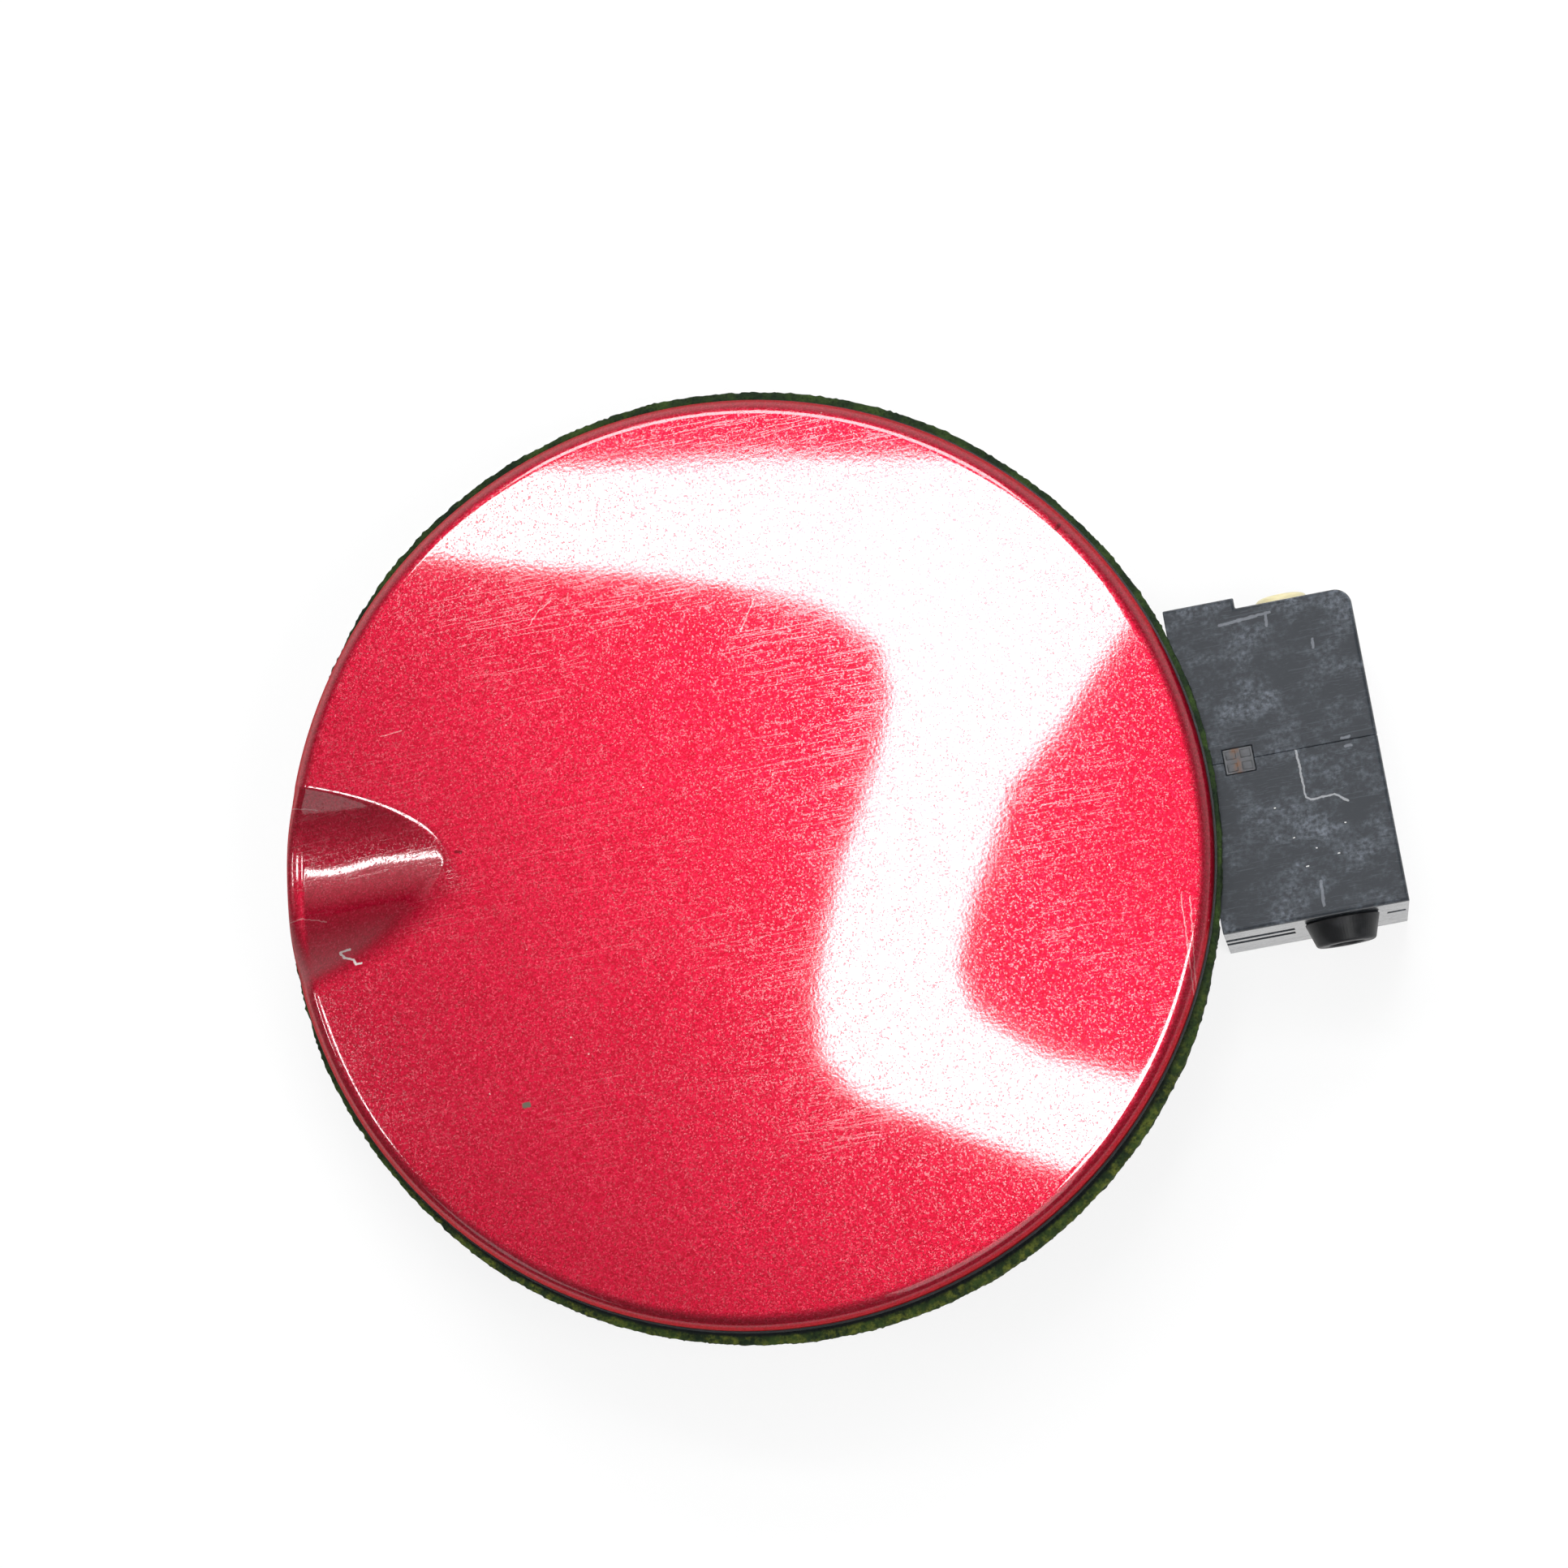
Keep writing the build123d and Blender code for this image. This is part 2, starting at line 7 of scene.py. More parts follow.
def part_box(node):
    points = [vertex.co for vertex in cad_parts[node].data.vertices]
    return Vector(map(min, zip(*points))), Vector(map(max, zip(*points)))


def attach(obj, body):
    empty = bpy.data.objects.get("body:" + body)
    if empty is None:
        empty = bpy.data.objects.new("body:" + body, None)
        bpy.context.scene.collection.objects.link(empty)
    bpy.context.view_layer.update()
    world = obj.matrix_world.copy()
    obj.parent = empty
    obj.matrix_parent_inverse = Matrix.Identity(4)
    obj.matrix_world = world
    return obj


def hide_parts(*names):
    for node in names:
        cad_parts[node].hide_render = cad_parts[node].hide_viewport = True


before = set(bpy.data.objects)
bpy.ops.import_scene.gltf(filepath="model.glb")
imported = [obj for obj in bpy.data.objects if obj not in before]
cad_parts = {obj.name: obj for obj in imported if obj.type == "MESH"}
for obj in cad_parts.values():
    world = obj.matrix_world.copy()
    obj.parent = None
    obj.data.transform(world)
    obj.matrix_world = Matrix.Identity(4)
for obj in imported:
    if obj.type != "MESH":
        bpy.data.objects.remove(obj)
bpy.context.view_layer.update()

MM = 0.001
MERGE_GAP = 0.002 * MM

# Door skin
DOOR_CROWN = 4.5 * MM
SHEET = 0.9 * MM
EDGE_RADIUS = 3.4 * MM
LIP_DEPTH = 4.5 * MM
HEM_ROUND = 0.25 * MM
HEM_BAND = 0.275 * MM
SKIN_SMOOTH = 60

# Rings and steps of the skin's mesh
CENTRE_RINGS = 12
SCOOP_RINGS = 96
BACK_RINGS = 40
EDGE_STEPS = 12
BACK_EDGE_STEPS = 5
MOUTH_STEPS = 160
REST_STEPS = 150

# Finger scoop. The fades and starts are shares of its half width and of the door's radius.
SCOOP_WIDTH = 37.0 * MM
SCOOP_LENGTH = 27.0 * MM
SCOOP_DEPTH = 5.6 * MM
SCOOP_Y = 10.3 * MM
SCOOP_YAW = math.radians(-3.5)
SCOOP_LIP = 0.9 * MM
SCOOP_MARGIN = 8.0 * MM
MOUTH_INSET = 3.5 * MM
MOUTH_ROLL = 0.28
MOUTH_SECTOR = math.radians(19)
MOUTH_PUSH_START = 0.8
CREASE_CRISP = 0.28 * MM
CREASE_SOFT = 1.5 * MM
CREASE_FADE = 0.4
CREASE_SHIFT = 0.15
# Edge, fade and depth of the painted shade on the scoop's lower wall
WELL_EDGE = 1.0 * MM
WELL_FADE = 0.6
WELL_DEPTH = 1.5 * MM

# Foam ring
FOAM_WIDTH = 4.5 * MM
FOAM_ACROSS_STEPS = 8
FOAM_DOWN_STEPS = 6
FOAM_TURN_STEPS = 900
FOAM_LEAST = 1.1 * MM
FOAM_UPPER_SHARE = 0.4
FOAM_LIP_GAP = 0.3 * MM
FOAM_SMOOTH = 80

# How much further the foam stands out, in millimetres, by angle in degrees from the image's right
FOAM_REACH = (
    (0, -0.4), (45, 0.1), (90, 0.7), (135, 0.5), (172, -1.2),
    (215, 0.0), (250, 0.7), (300, 1.2), (330, 0.9), (360, -0.4),
)

# Tears along the foam's edge and lumps on its faces: waves in a metre and size in millimetres
FOAM_TEARS = ((900, 0.22), (160, 0.16), (2600, 0.22))
FOAM_LUMP_WAVES = 700
FOAM_LUMP = 0.22 * MM
FOAM_LUMP_SHIFT = Vector((7, 3, 1))

# Rounded copies of the solids, angles in degrees
FLAT_ANGLE = 1
BEVEL_ANGLE = 32
CRISP_ANGLE = 35

# Turned knob and cap bush
PIN_BORE = 2.52 * MM
TURN_STEPS = 72
KNOB_ROOT_ROUND = 0.3 * MM
KNOB_TIP_RADIUS = 5.45 * MM
KNOB_TIP_ROUND = 0.7 * MM
KNOB_DIMPLE_RADIUS = 3.4 * MM
KNOB_DIMPLE_DEPTH = 0.8 * MM
KNOB_DIMPLE_ROUND = 0.3 * MM
KNOB_END_WALL = 1.6 * MM
CAP_SHANK_RADIUS = 4.0 * MM
CAP_HEAD_HEIGHT = 2.0 * MM
CAP_HEAD_ROUND = 1.2 * MM
CAP_SEAT_ROUND = 0.15 * MM

# Seam clip
CLIP_EDGE = 0.12 * MM
PAD_GAP = 0.5 * MM
PAD_RISE = 0.16 * MM
PAD_EDGE = 0.1 * MM

# Screws
SCREW_RADIUS = 1.9 * MM
SCREW_HEAD_HEIGHT = 2.4 * MM
SCREW_HEAD_RADIUS = 3.8 * MM
SCREW_HEAD_ROUND = 1.3 * MM
SCREW_ROUND_HEIGHT = 1.5 * MM
SCREW_FACE_RADIUS = 1.6 * MM
SCREW_FACE_RISE = 0.08 * MM
SCREW_STEPS = 48
RECESS_LENGTH = 3.9 * MM
RECESS_WIDTH = 0.95 * MM
RECESS_DEPTH = 1.3 * MM

# Camera at the photograph's angle
IMAGE_TURN = math.radians(10)
CAMERA_DISTANCE = 0.80
CAMERA_LEAN_RIGHT = 0.137
CAMERA_LEAN_DOWN = 0.0998
CAMERA_NEAR = 0.01
AIM_RIGHT = 7.3 * MM
AIM_UP = 13.1 * MM
LENS = 104.5
SENSOR = 36

# World and floor. The bands are of a direction's height and of its lean to the image's top.
WORLD_LIGHT = 0.08
HORIZON_LIGHT = 0.8
HORIZON_BAND = (0.1, 0.6)
FAR_BAND = (-0.4, 0.4)
FLOOR_SIZE = 8.0
FLOOR_LIFT = 0.80

# Bright panels overhead: radiance, and outline in metres to the right and up from the door's centre in
# the image. The first shows in the middle of the paint, the others along the scoop's valley, along the
# scoop's upper edge, along the rolled rim and in the scoop's upper wall.
PANEL_HEIGHT = 1.0
BRIGHT_PANELS = (
    (
        13.0,
        (
            (-0.47, 0.462), (-0.20, 0.440), (0.05, 0.443), (0.20, 0.46), (0.255, 0.39), (0.135, 0.207),
            (0.088, 0.152), (0.064, 0.067), (0.053, -0.002), (0.064, -0.032), (0.126, -0.071),
            (0.29, -0.12), (0.36, -0.02), (0.60, -0.02), (0.60, -0.50), (0.38, -0.45), (0.24, -0.19),
            (0.059, -0.134), (-0.03, -0.103), (-0.060, -0.070), (-0.064, -0.019),
            (-0.047, 0.088), (-0.012, 0.180), (-0.001, 0.225), (-0.012, 0.270), (-0.06, 0.306),
            (-0.148, 0.334), (-0.40, 0.369), (-0.47, 0.378),
        ),
    ),
    (17.0, ((-1.133, -0.261), (-1.099, -0.291), (-0.837, 0.011), (-0.871, 0.041))),
    (13.0, ((-0.60, -0.035), (-0.52, -0.035), (-0.60, -0.28), (-0.69, -0.28))),
    (7.0, ((-0.46, 0.57), (0.28, 0.57), (0.36, 0.95), (-0.60, 0.95))),
    (0.8, ((-1.80, -2.20), (-1.00, -2.20), (-0.85, -0.88), (-1.45, -0.98))),
)

# Soft glow beside the valley's panel: edges in metres to the right and up, height, strongest radiance
# and how far up its strongest line lies, as a share
GLOW_RIGHT = (-1.30, -0.90)
GLOW_UP = (-0.25, 0.50)
GLOW_HEIGHT = 1.1
GLOW_RADIANCE = 0.5
GLOW_PEAK = 0.3

# Weak fill lamp: metres to the right, up and above the floor
FILL_PLACE = (0.50, -0.90, 0.90)
FILL_SIZE = 0.6
FILL_RADIANCE = 1.0

# Levels and places of the door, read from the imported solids
skin_low, skin_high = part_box("outer_skin")
door_radius = (skin_high.y - skin_low.y) / 2
door_x = skin_high.x - door_radius
door_y = (skin_high.y + skin_low.y) / 2
rim_z = skin_high.z - DOOR_CROWN
lip_z = rim_z - LIP_DEPTH
dome_radius = (door_radius**2 + DOOR_CROWN**2) / (2 * DOOR_CROWN)
dome_z = skin_high.z - dome_radius
door_centre = Vector((door_x, door_y, rim_z))
door_axis = Vector((door_x, door_y, 0))
image_right = Vector((math.cos(IMAGE_TURN), -math.sin(IMAGE_TURN), 0))
image_up = Vector((math.sin(IMAGE_TURN), math.cos(IMAGE_TURN), 0))


# Modelling by hand


def start_modelling():
    """Leave edit mode with nothing selected, so the next operator acts on the new piece alone."""
    if bpy.context.mode != "OBJECT":
        bpy.ops.object.mode_set(mode="OBJECT")
    bpy.ops.object.select_all(action="DESELECT")


def draw_line(name, points):
    """One vertex pulled from point to point. Leaves the line selected in edit mode."""
    start_modelling()
    bpy.ops.mesh.primitive_plane_add(size=MM, location=points[0])
    piece = bpy.context.object
    piece.name = name
    bpy.ops.object.mode_set(mode="EDIT")
    bpy.ops.mesh.merge(type="CENTER")
    for here, there in zip(points, points[1:]):
        step = Vector(there) - Vector(here)
        bpy.ops.mesh.extrude_region_move(TRANSFORM_OT_translate={"value": step})
    bpy.ops.mesh.select_all(action="SELECT")
    return piece


def settle(piece):
    """Merge doubles, turn the faces outwards and put the piece's place into its mesh."""
    bpy.ops.object.mode_set(mode="EDIT")
    bpy.ops.mesh.select_all(action="SELECT")
    bpy.ops.mesh.remove_doubles(threshold=MERGE_GAP)
    bpy.ops.mesh.normals_make_consistent(inside=False)
    bpy.ops.object.mode_set(mode="OBJECT")
    bpy.ops.object.transform_apply(location=True, rotation=True, scale=True)
    return piece


def lathe(name, profile, centre, axis, out, steps):
    """Turned piece: a profile of (radius, height) points spun about an axis through the centre."""
    line = [centre + out * radius + axis * height for radius, height in profile]
    piece = draw_line(name, line)
    bpy.ops.mesh.spin(steps=steps, angle=math.tau, center=centre, axis=axis)
    return settle(piece)


def add_modifier(piece, kind, **settings):
    """Add a modifier, set it and apply it."""
    bpy.context.view_layer.objects.active = piece
    modifier = piece.modifiers.new(kind.title(), kind)
    for key, value in settings.items():
        setattr(modifier, key, value)
    bpy.ops.object.modifier_apply(modifier=modifier.name)


def smooth(piece, angle=40):
    """Smooth shading, with edges sharper than the angle left crisp."""
    start_modelling()
    piece.select_set(True)
    bpy.context.view_layer.objects.active = piece
    bpy.ops.object.shade_smooth_by_angle(angle=math.radians(angle))


def join(name, pieces):
    """Join pieces of one node into one mesh."""
    start_modelling()
    for piece in pieces:
        piece.select_set(True)
    bpy.context.view_layer.objects.active = pieces[0]
    bpy.ops.object.join()
    pieces[0].name = name
    return pieces[0]


def dress(piece, body, slot, material, *nodes):
    """Finish a new piece: its body, its material and the solids that it stands for. The slot is not used.
    """
    piece.data.materials.clear()
    piece.data.materials.append(material)
    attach(piece, body)
    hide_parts(*nodes)


# Nodes of the materials

# Drawn strokes: shares of the width where they start and stop to fade, and how ragged they are
STROKE_CORE = 0.35
STROKE_EDGE = 0.65
RAG_SIZE = 0.9 * MM
RAG_REACH = 0.5 * MM


class Finish:
    """A material under construction, with short calls for the nodes that it needs."""

    def __init__(self, name):
        self.material = bpy.data.materials.new(name)
        self.material.use_nodes = True
        self.tree = self.material.node_tree
        self.shader = self.tree.nodes["Principled BSDF"]
        self.place = self.add("ShaderNodeTexCoord").outputs["Object"]

    def add(self, kind, **settings):
        """New node with its settings."""
        node = self.tree.nodes.new(kind)
        for key, value in settings.items():
            setattr(node, key, value)
        return node

    def feed(self, socket, value):
        """Link an output to a socket, or set the socket's own value."""
        if isinstance(value, bpy.types.NodeSocket):
            self.tree.links.new(value, socket)
        else:
            socket.default_value = value

    def set(self, **values):
        """Values of the shader's own sockets, with _ for the spaces in their names."""
        for key, value in values.items():
            self.feed(self.shader.inputs[key.replace("_", " ")], value)

    def mapped(self, turn=(0, 0, 0), scale=(1, 1, 1)):
        """The place, turned and scaled."""
        node = self.add("ShaderNodeMapping")
        self.feed(node.inputs["Vector"], self.place)
        node.inputs["Rotation"].default_value = turn
        node.inputs["Scale"].default_value = scale
        return node.outputs["Vector"]

    def noise(self, size, detail=2.0, rough=0.5, vector=None):
        """Noise whose blobs are about the given size across."""
        node = self.add("ShaderNodeTexNoise")
        self.feed(node.inputs["Vector"], vector or self.place)
        node.inputs["Scale"].default_value = 1 / size
        node.inputs["Detail"].default_value = detail
        node.inputs["Roughness"].default_value = rough
        return node.outputs["Fac"]

    def cells(self, size, output="Color"):
        """Random cells about the given size across."""
        node = self.add("ShaderNodeTexVoronoi")
        self.feed(node.inputs["Vector"], self.place)
        node.inputs["Scale"].default_value = 1 / size
        return node.outputs[output]

    def math(self, operation, first, second=0.0, clamp=False):
        """One step of arithmetic."""
        node = self.add("ShaderNodeMath", operation=operation, use_clamp=clamp)
        self.feed(node.inputs[0], first)
        self.feed(node.inputs[1], second)
        return node.outputs[0]

    def spread(self, value, low, high, to_low=0.0, to_high=1.0):
        """Stretch a value's range from low to high, smoothly, on to another range."""
        node = self.add("ShaderNodeMapRange", interpolation_type="SMOOTHSTEP")
        self.feed(node.inputs["Value"], value)
        node.inputs["From Min"].default_value = low
        node.inputs["From Max"].default_value = high
        node.inputs["To Min"].default_value = to_low
        node.inputs["To Max"].default_value = to_high
        return node.outputs["Result"]

    def blend(self, factor, first, second):
        """Colour between two colours."""
        node = self.add("ShaderNodeMix", data_type="RGBA")
        self.feed(node.inputs["Factor"], factor)
        self.feed(node.inputs["A"], first)
        self.feed(node.inputs["B"], second)
        return node.outputs["Result"]

    def axis(self, name):
        """One coordinate of the place."""
        node = self.add("ShaderNodeSeparateXYZ")
        self.feed(node.inputs[0], self.place)
        return node.outputs[name]

    def upward(self):
        """How far the surface faces up, from its own normal."""
        normal = self.add("ShaderNodeSeparateXYZ")
        self.feed(normal.inputs[0], self.add("ShaderNodeTexCoord").outputs["Normal"])
        return normal.outputs["Z"]

    def bump(self, height, strength, distance, under=None):
        """Normal bent by a height, on top of another bump if one is given."""
        node = self.add("ShaderNodeBump")
        self.feed(node.inputs["Height"], height)
        node.inputs["Strength"].default_value = strength
        node.inputs["Distance"].default_value = distance
        if under is not None:
            self.feed(node.inputs["Normal"], under)
        return node.outputs["Normal"]

    def streaks(self, turn, length, width, cover, wobble):
        """Fine wavering lines along one direction: drawn-out noise, kept where it is highest."""
        vector = self.mapped((0, 0, turn), (1 / length, 1 / width, 1 / length))
        wave = self.noise(length / 2, 1)
        offset = self.add("ShaderNodeCombineXYZ")
        self.feed(offset.inputs["Y"], self.math("MULTIPLY", wave, wobble / width))
        total = self.add("ShaderNodeVectorMath", operation="ADD")
        self.feed(total.inputs[0], vector)
        self.feed(total.inputs[1], offset.outputs[0])
        lines = self.noise(1.0, 1, 0.5, total.outputs[0])
        return self.spread(lines, 1 - cover, 1 - cover * 0.8)

    def stroke(self, start, end, width):
        """Mask of one drawn stroke, seen from above, between two points."""
        run = Vector(end) - Vector(start)
        from_start = self.add("ShaderNodeVectorMath", operation="SUBTRACT")
        self.feed(from_start.inputs[0], self.flat())
        from_start.inputs[1].default_value = (start[0], start[1], 0)
        along = self.add("ShaderNodeVectorMath", operation="DOT_PRODUCT")
        self.feed(along.inputs[0], from_start.outputs[0])
        along.inputs[1].default_value = (run.x / run.length_squared, run.y / run.length_squared, 0)
        share = self.math("MULTIPLY", along.outputs["Value"], 1.0, clamp=True)
        foot = self.add("ShaderNodeVectorMath", operation="SCALE")
        foot.inputs[0].default_value = (run.x, run.y, 0)
        self.feed(foot.inputs["Scale"], share)
        gap = self.add("ShaderNodeVectorMath", operation="DISTANCE")
        self.feed(gap.inputs[0], from_start.outputs[0])
        self.feed(gap.inputs[1], foot.outputs[0])
        return self.spread(gap.outputs["Value"], width * STROKE_CORE, width * STROKE_EDGE, 1.0, 0.0)

    def flat(self):
        """The place with its height left out, a little ragged."""
        if not hasattr(self, "flat_place"):
            rag = self.add("ShaderNodeTexNoise")
            self.feed(rag.inputs["Vector"], self.place)
            rag.inputs["Scale"].default_value = 1 / RAG_SIZE
            centred = self.add("ShaderNodeVectorMath", operation="MULTIPLY_ADD")
            self.feed(centred.inputs[0], rag.outputs["Color"])
            centred.inputs[1].default_value = (RAG_REACH, RAG_REACH, 0)
            self.feed(centred.inputs[2], self.place)
            level = self.add("ShaderNodeVectorMath", operation="MULTIPLY")
            self.feed(level.inputs[0], centred.outputs[0])
            level.inputs[1].default_value = (1, 1, 0)
            shifted = self.add("ShaderNodeVectorMath", operation="SUBTRACT")
            self.feed(shifted.inputs[0], level.outputs[0])
            shifted.inputs[1].default_value = (RAG_REACH / 2, RAG_REACH / 2, 0)
            self.flat_place = shifted.outputs[0]
        return self.flat_place

    def strokes(self, lines, width):
        """Mask of several strokes, each a row of points."""
        total = None
        for points in lines:
            for start, end in zip(points, points[1:]):
                mask = self.stroke(start, end, width)
                total = mask if total is None else self.math("MAXIMUM", total, mask)
        return total


def door_points(*rows):
    """Rows of points given in millimetres from the door's centre, seen from above."""
    return [[(door_x + x * MM, door_y + y * MM) for x, y in row] for row in rows]


def top_points(*rows):
    """Rows of points given in millimetres from the origin, seen from above."""
    return [[(x * MM, y * MM) for x, y in row] for row in rows]


# Colours of the paint
DEEP_RED = (0.36, 0.003, 0.017, 1)
FLAKE_RED = (0.61, 0.008, 0.044, 1)
GLINT_RED = (0.70, 0.070, 0.12, 1)
CLOUD_RED = (0.34, 0.004, 0.016, 1)
SWIRL_PINK = (0.9, 0.34, 0.40, 1)
SPECK_PINK = (0.80, 0.62, 0.60, 1)
SCRATCH_PINK = (0.80, 0.50, 0.50, 1)
CHIP_WHITE = (0.86, 0.78, 0.76, 1)
MARK_RED = (0.20, 0.004, 0.012, 1)
SPOT_GREY = (0.13, 0.12, 0.09, 1)
HEM_GREY = (0.14, 0.145, 0.135, 1)
# Painted shade for the scoop's lower wall
SCOOP_SHADE_RED = (0.10, 0.001, 0.008, 1)
# Painted shade for faces that turn to the side
STEEP_SHADE_RED = (0.10, 0.002, 0.008, 1)
SHEEN_RED = (0.55, 0.015, 0.04, 1)

# Grain and fine swirls of the paint. A swirl has its turn, its length in millimetres and its cover.
FLAKE_SIZE = 0.24 * MM
SWIRL_WIDTH = 0.22 * MM
SWIRL_WOBBLE = 2 * MM
SWIRLS = ((0.5, 26, 0.33), (1.6, 20, 0.33), (2.6, 30, 0.34), (-0.4, 18, 0.33))

# Marks on the paint, in millimetres from the door's centre
PALE_SCRATCHES = door_points(
    [(-30.2, 47.7), (-28.0, 50.0), (-25.5, 51.4)],
    [(6.9, 39.2), (10.5, 44.8)],
    [(-59.9, 33.4), (-56.0, 33.7)],
    [(74.3, -20.6), (73.2, -39.3)],
    [(75.8, -20.9), (73.6, -38.6)],
    [(-83.5, 4.4), (-80.4, 4.7), (-76.0, 3.2)],
    [(-79.6, 24.5), (-74.0, 23.0)],
)
WHITE_CHIPS = door_points(
    [(-72.0, -2.8), (-73.9, -3.0), (-73.2, -4.1), (-71.5, -4.8), (-71.0, -5.8), (-70.1, -5.7)],
)
DARK_MARKS = door_points(
    [(53.7, 54.1), (54.7, 54.1)],
    [(55.9, 52.4), (56.9, 49.6)],
    [(62.7, 45.0), (65.3, 47.6)],
    [(-49.8, 10.3), (-48.8, 10.2)],
)
GREY_SPOTS = door_points([(-45.1, -35.9), (-44.5, -35.9)])


def flake_red_paint():
    """Metallic red with flake grain under a clear coat, with fine scratches, chips and dust."""
    paint = Finish("flake_red_paint")
    grain = paint.add("ShaderNodeSeparateColor")
    paint.feed(grain.inputs[0], paint.cells(FLAKE_SIZE))
    coarse = paint.noise(0.8 * MM, 2)
    cloud = paint.noise(40 * MM, 2)
    sparkle = paint.math("ADD", grain.outputs[0], paint.math("MULTIPLY", coarse, 0.9))
    colour = paint.blend(paint.spread(sparkle, 0.3, 1.6), DEEP_RED, FLAKE_RED)
    glint = paint.spread(grain.outputs[1], 0.80, 0.98, 0, 0.5)
    colour = paint.blend(glint, colour, GLINT_RED)
    colour = paint.blend(paint.spread(cloud, 0.3, 0.7, 0, 0.2), colour, CLOUD_RED)
    swirl = None
    for turn, length, cover in SWIRLS:
        lines = paint.streaks(turn, length * MM, SWIRL_WIDTH, cover, SWIRL_WOBBLE)
        swirl = lines if swirl is None else paint.math("MAXIMUM", swirl, lines)
    patchy = paint.spread(paint.noise(22 * MM, 2), 0.42, 0.62)
    swirl = paint.math("MULTIPLY", swirl, patchy)
    colour = paint.blend(paint.math("MULTIPLY", swirl, 0.08), colour, SWIRL_PINK)
    speck = paint.spread(paint.cells(5.5 * MM, output="Distance"), 0.016, 0.034, 1, 0)
    colour = paint.blend(paint.math("MULTIPLY", speck, 0.6), colour, SPECK_PINK)
    pale = paint.strokes(PALE_SCRATCHES, 0.2 * MM)
    colour = paint.blend(paint.math("MULTIPLY", pale, 0.35), colour, SCRATCH_PINK)
    colour = paint.blend(paint.strokes(WHITE_CHIPS, 0.42 * MM), colour, CHIP_WHITE)
    colour = paint.blend(paint.strokes(DARK_MARKS, 0.6 * MM), colour, MARK_RED)
    colour = paint.blend(paint.strokes(GREY_SPOTS, 1.0 * MM), colour, SPOT_GREY)
    hem = paint.add("ShaderNodeAttribute", attribute_name="hem").outputs["Fac"]
    colour = paint.blend(paint.spread(hem, 0.2, 0.6), colour, HEM_GREY)
    # Painted shade: the scoop's lower wall is darkened, and its coat haze is taken away
    painted_scoop_shade = paint.add("ShaderNodeAttribute", attribute_name="painted_scoop_shade").outputs["Fac"]
    colour = paint.blend(paint.math("MULTIPLY", painted_scoop_shade, 0.4), colour, SCOOP_SHADE_RED)
    haze = paint.math("ADD", grain.outputs[2], paint.math("MULTIPLY", swirl, 0.25))
    haze = paint.math("SUBTRACT", haze, painted_scoop_shade)
    upward = paint.upward()
    # Painted shade: faces that turn to the side, round the rolled rim and down the lip, are darkened
    steep_shade = paint.spread(upward, 0.05, 0.35, 1, 0)
    colour = paint.blend(paint.math("MULTIPLY", steep_shade, 0.5), colour, STEEP_SHADE_RED)
    wave = paint.bump(paint.noise(45 * MM, 1), 1.0, 0.16 * MM)
    ripple = paint.bump(paint.noise(0.6 * MM, 2), 1.0, 0.004 * MM, wave)
    scored = paint.bump(swirl, 1.0, 0.0016 * MM, ripple)
    paint.set(
        Base_Color=colour,
        Metallic=1.0,
        Roughness=0.48,
        Specular_IOR_Level=0.0,
        Specular_Tint=SHEEN_RED,
        Coat_Weight=paint.spread(upward, 0.45, 0.92, 0.12, 1.0),
        Coat_Roughness=paint.spread(haze, 0.80, 0.90, 0.05, 0.27),
        Coat_IOR=1.9,
        Normal=paint.bump(coarse, 0.25, 0.05 * MM),
        Coat_Normal=scored,
    )
    return paint.material


# Marks on the housing's top, in millimetres from the origin
WHITE_SCRATCHES = top_points(
    [(-2.5, 1.4), (-2.3, -7.0), (-1.6, -7.7), (2.7, -7.5), (4.8, -9.1)],
)
FAINT_SCRATCHES = top_points(
    [(-3.3, 26.2), (-3.4, 24.1)],
    [(4.0, 20.3), (3.9, 18.7)],
    [(-2.5, -22.2), (-2.8, -26.4)],
    [(-11.6, 25.7), (-2.5, 26.4)],
    [(5.7, 2.0), (7.0, 2.0)],
    [(6.2, 0.5), (7.1, 0.5)],
)
WHITE_SPECKS = top_points(
    [(-5.8, -13.8), (-5.6, -13.8)],
    [(-2.2, -16.2), (-2.0, -16.2)],
    [(1.4, -17.9), (1.6, -17.9)],
    [(-4.4, -19.2), (-4.2, -19.2)],
    [(-8.1, -8.0), (-7.9, -8.0)],
    [(3.5, -12.7), (3.7, -12.7)],
)


def moulded_plastic(name, dark, pale, scuff):
    """Black moulded plastic with a fine grain, pale rubbed patches and fine scratches."""
    plastic = Finish(name)
    drawn_out = plastic.mapped((0, 0, -0.9), (1, 1.6, 1))
    rubbed = plastic.spread(plastic.noise(11 * MM, 6, 0.72, drawn_out), 0.42, 0.76)
    fine = plastic.noise(0.8 * MM, 3, 0.6)
    hairs = plastic.streaks(0.9, 12 * MM, 0.25 * MM, 0.36, 2 * MM)
    hairs = plastic.math("MAXIMUM", hairs, plastic.streaks(2.3, 9 * MM, 0.22 * MM, 0.35, 2 * MM))
    top = plastic.spread(plastic.upward(), 0.5, 0.9)
    wear = plastic.math("MULTIPLY", rubbed, plastic.spread(fine, 0.3, 0.75))
    wear = plastic.math("MULTIPLY", wear, scuff)
    wear = plastic.math("ADD", wear, plastic.math("MULTIPLY", hairs, 0.12 * scuff), clamp=True)
    colour = plastic.blend(wear, dark, pale)
    dullness = plastic.spread(top, 0, 1, 0.17, 0.50)
    plastic.set(
        Base_Color=colour,
        Roughness=plastic.math("ADD", dullness, plastic.math("MULTIPLY", wear, 0.2)),
        Specular_IOR_Level=plastic.spread(top, 0, 1, 0.5, 0.2),
        Normal=plastic.bump(plastic.noise(0.35 * MM, 3), 0.25, 0.06 * MM),
    )
    return plastic, colour


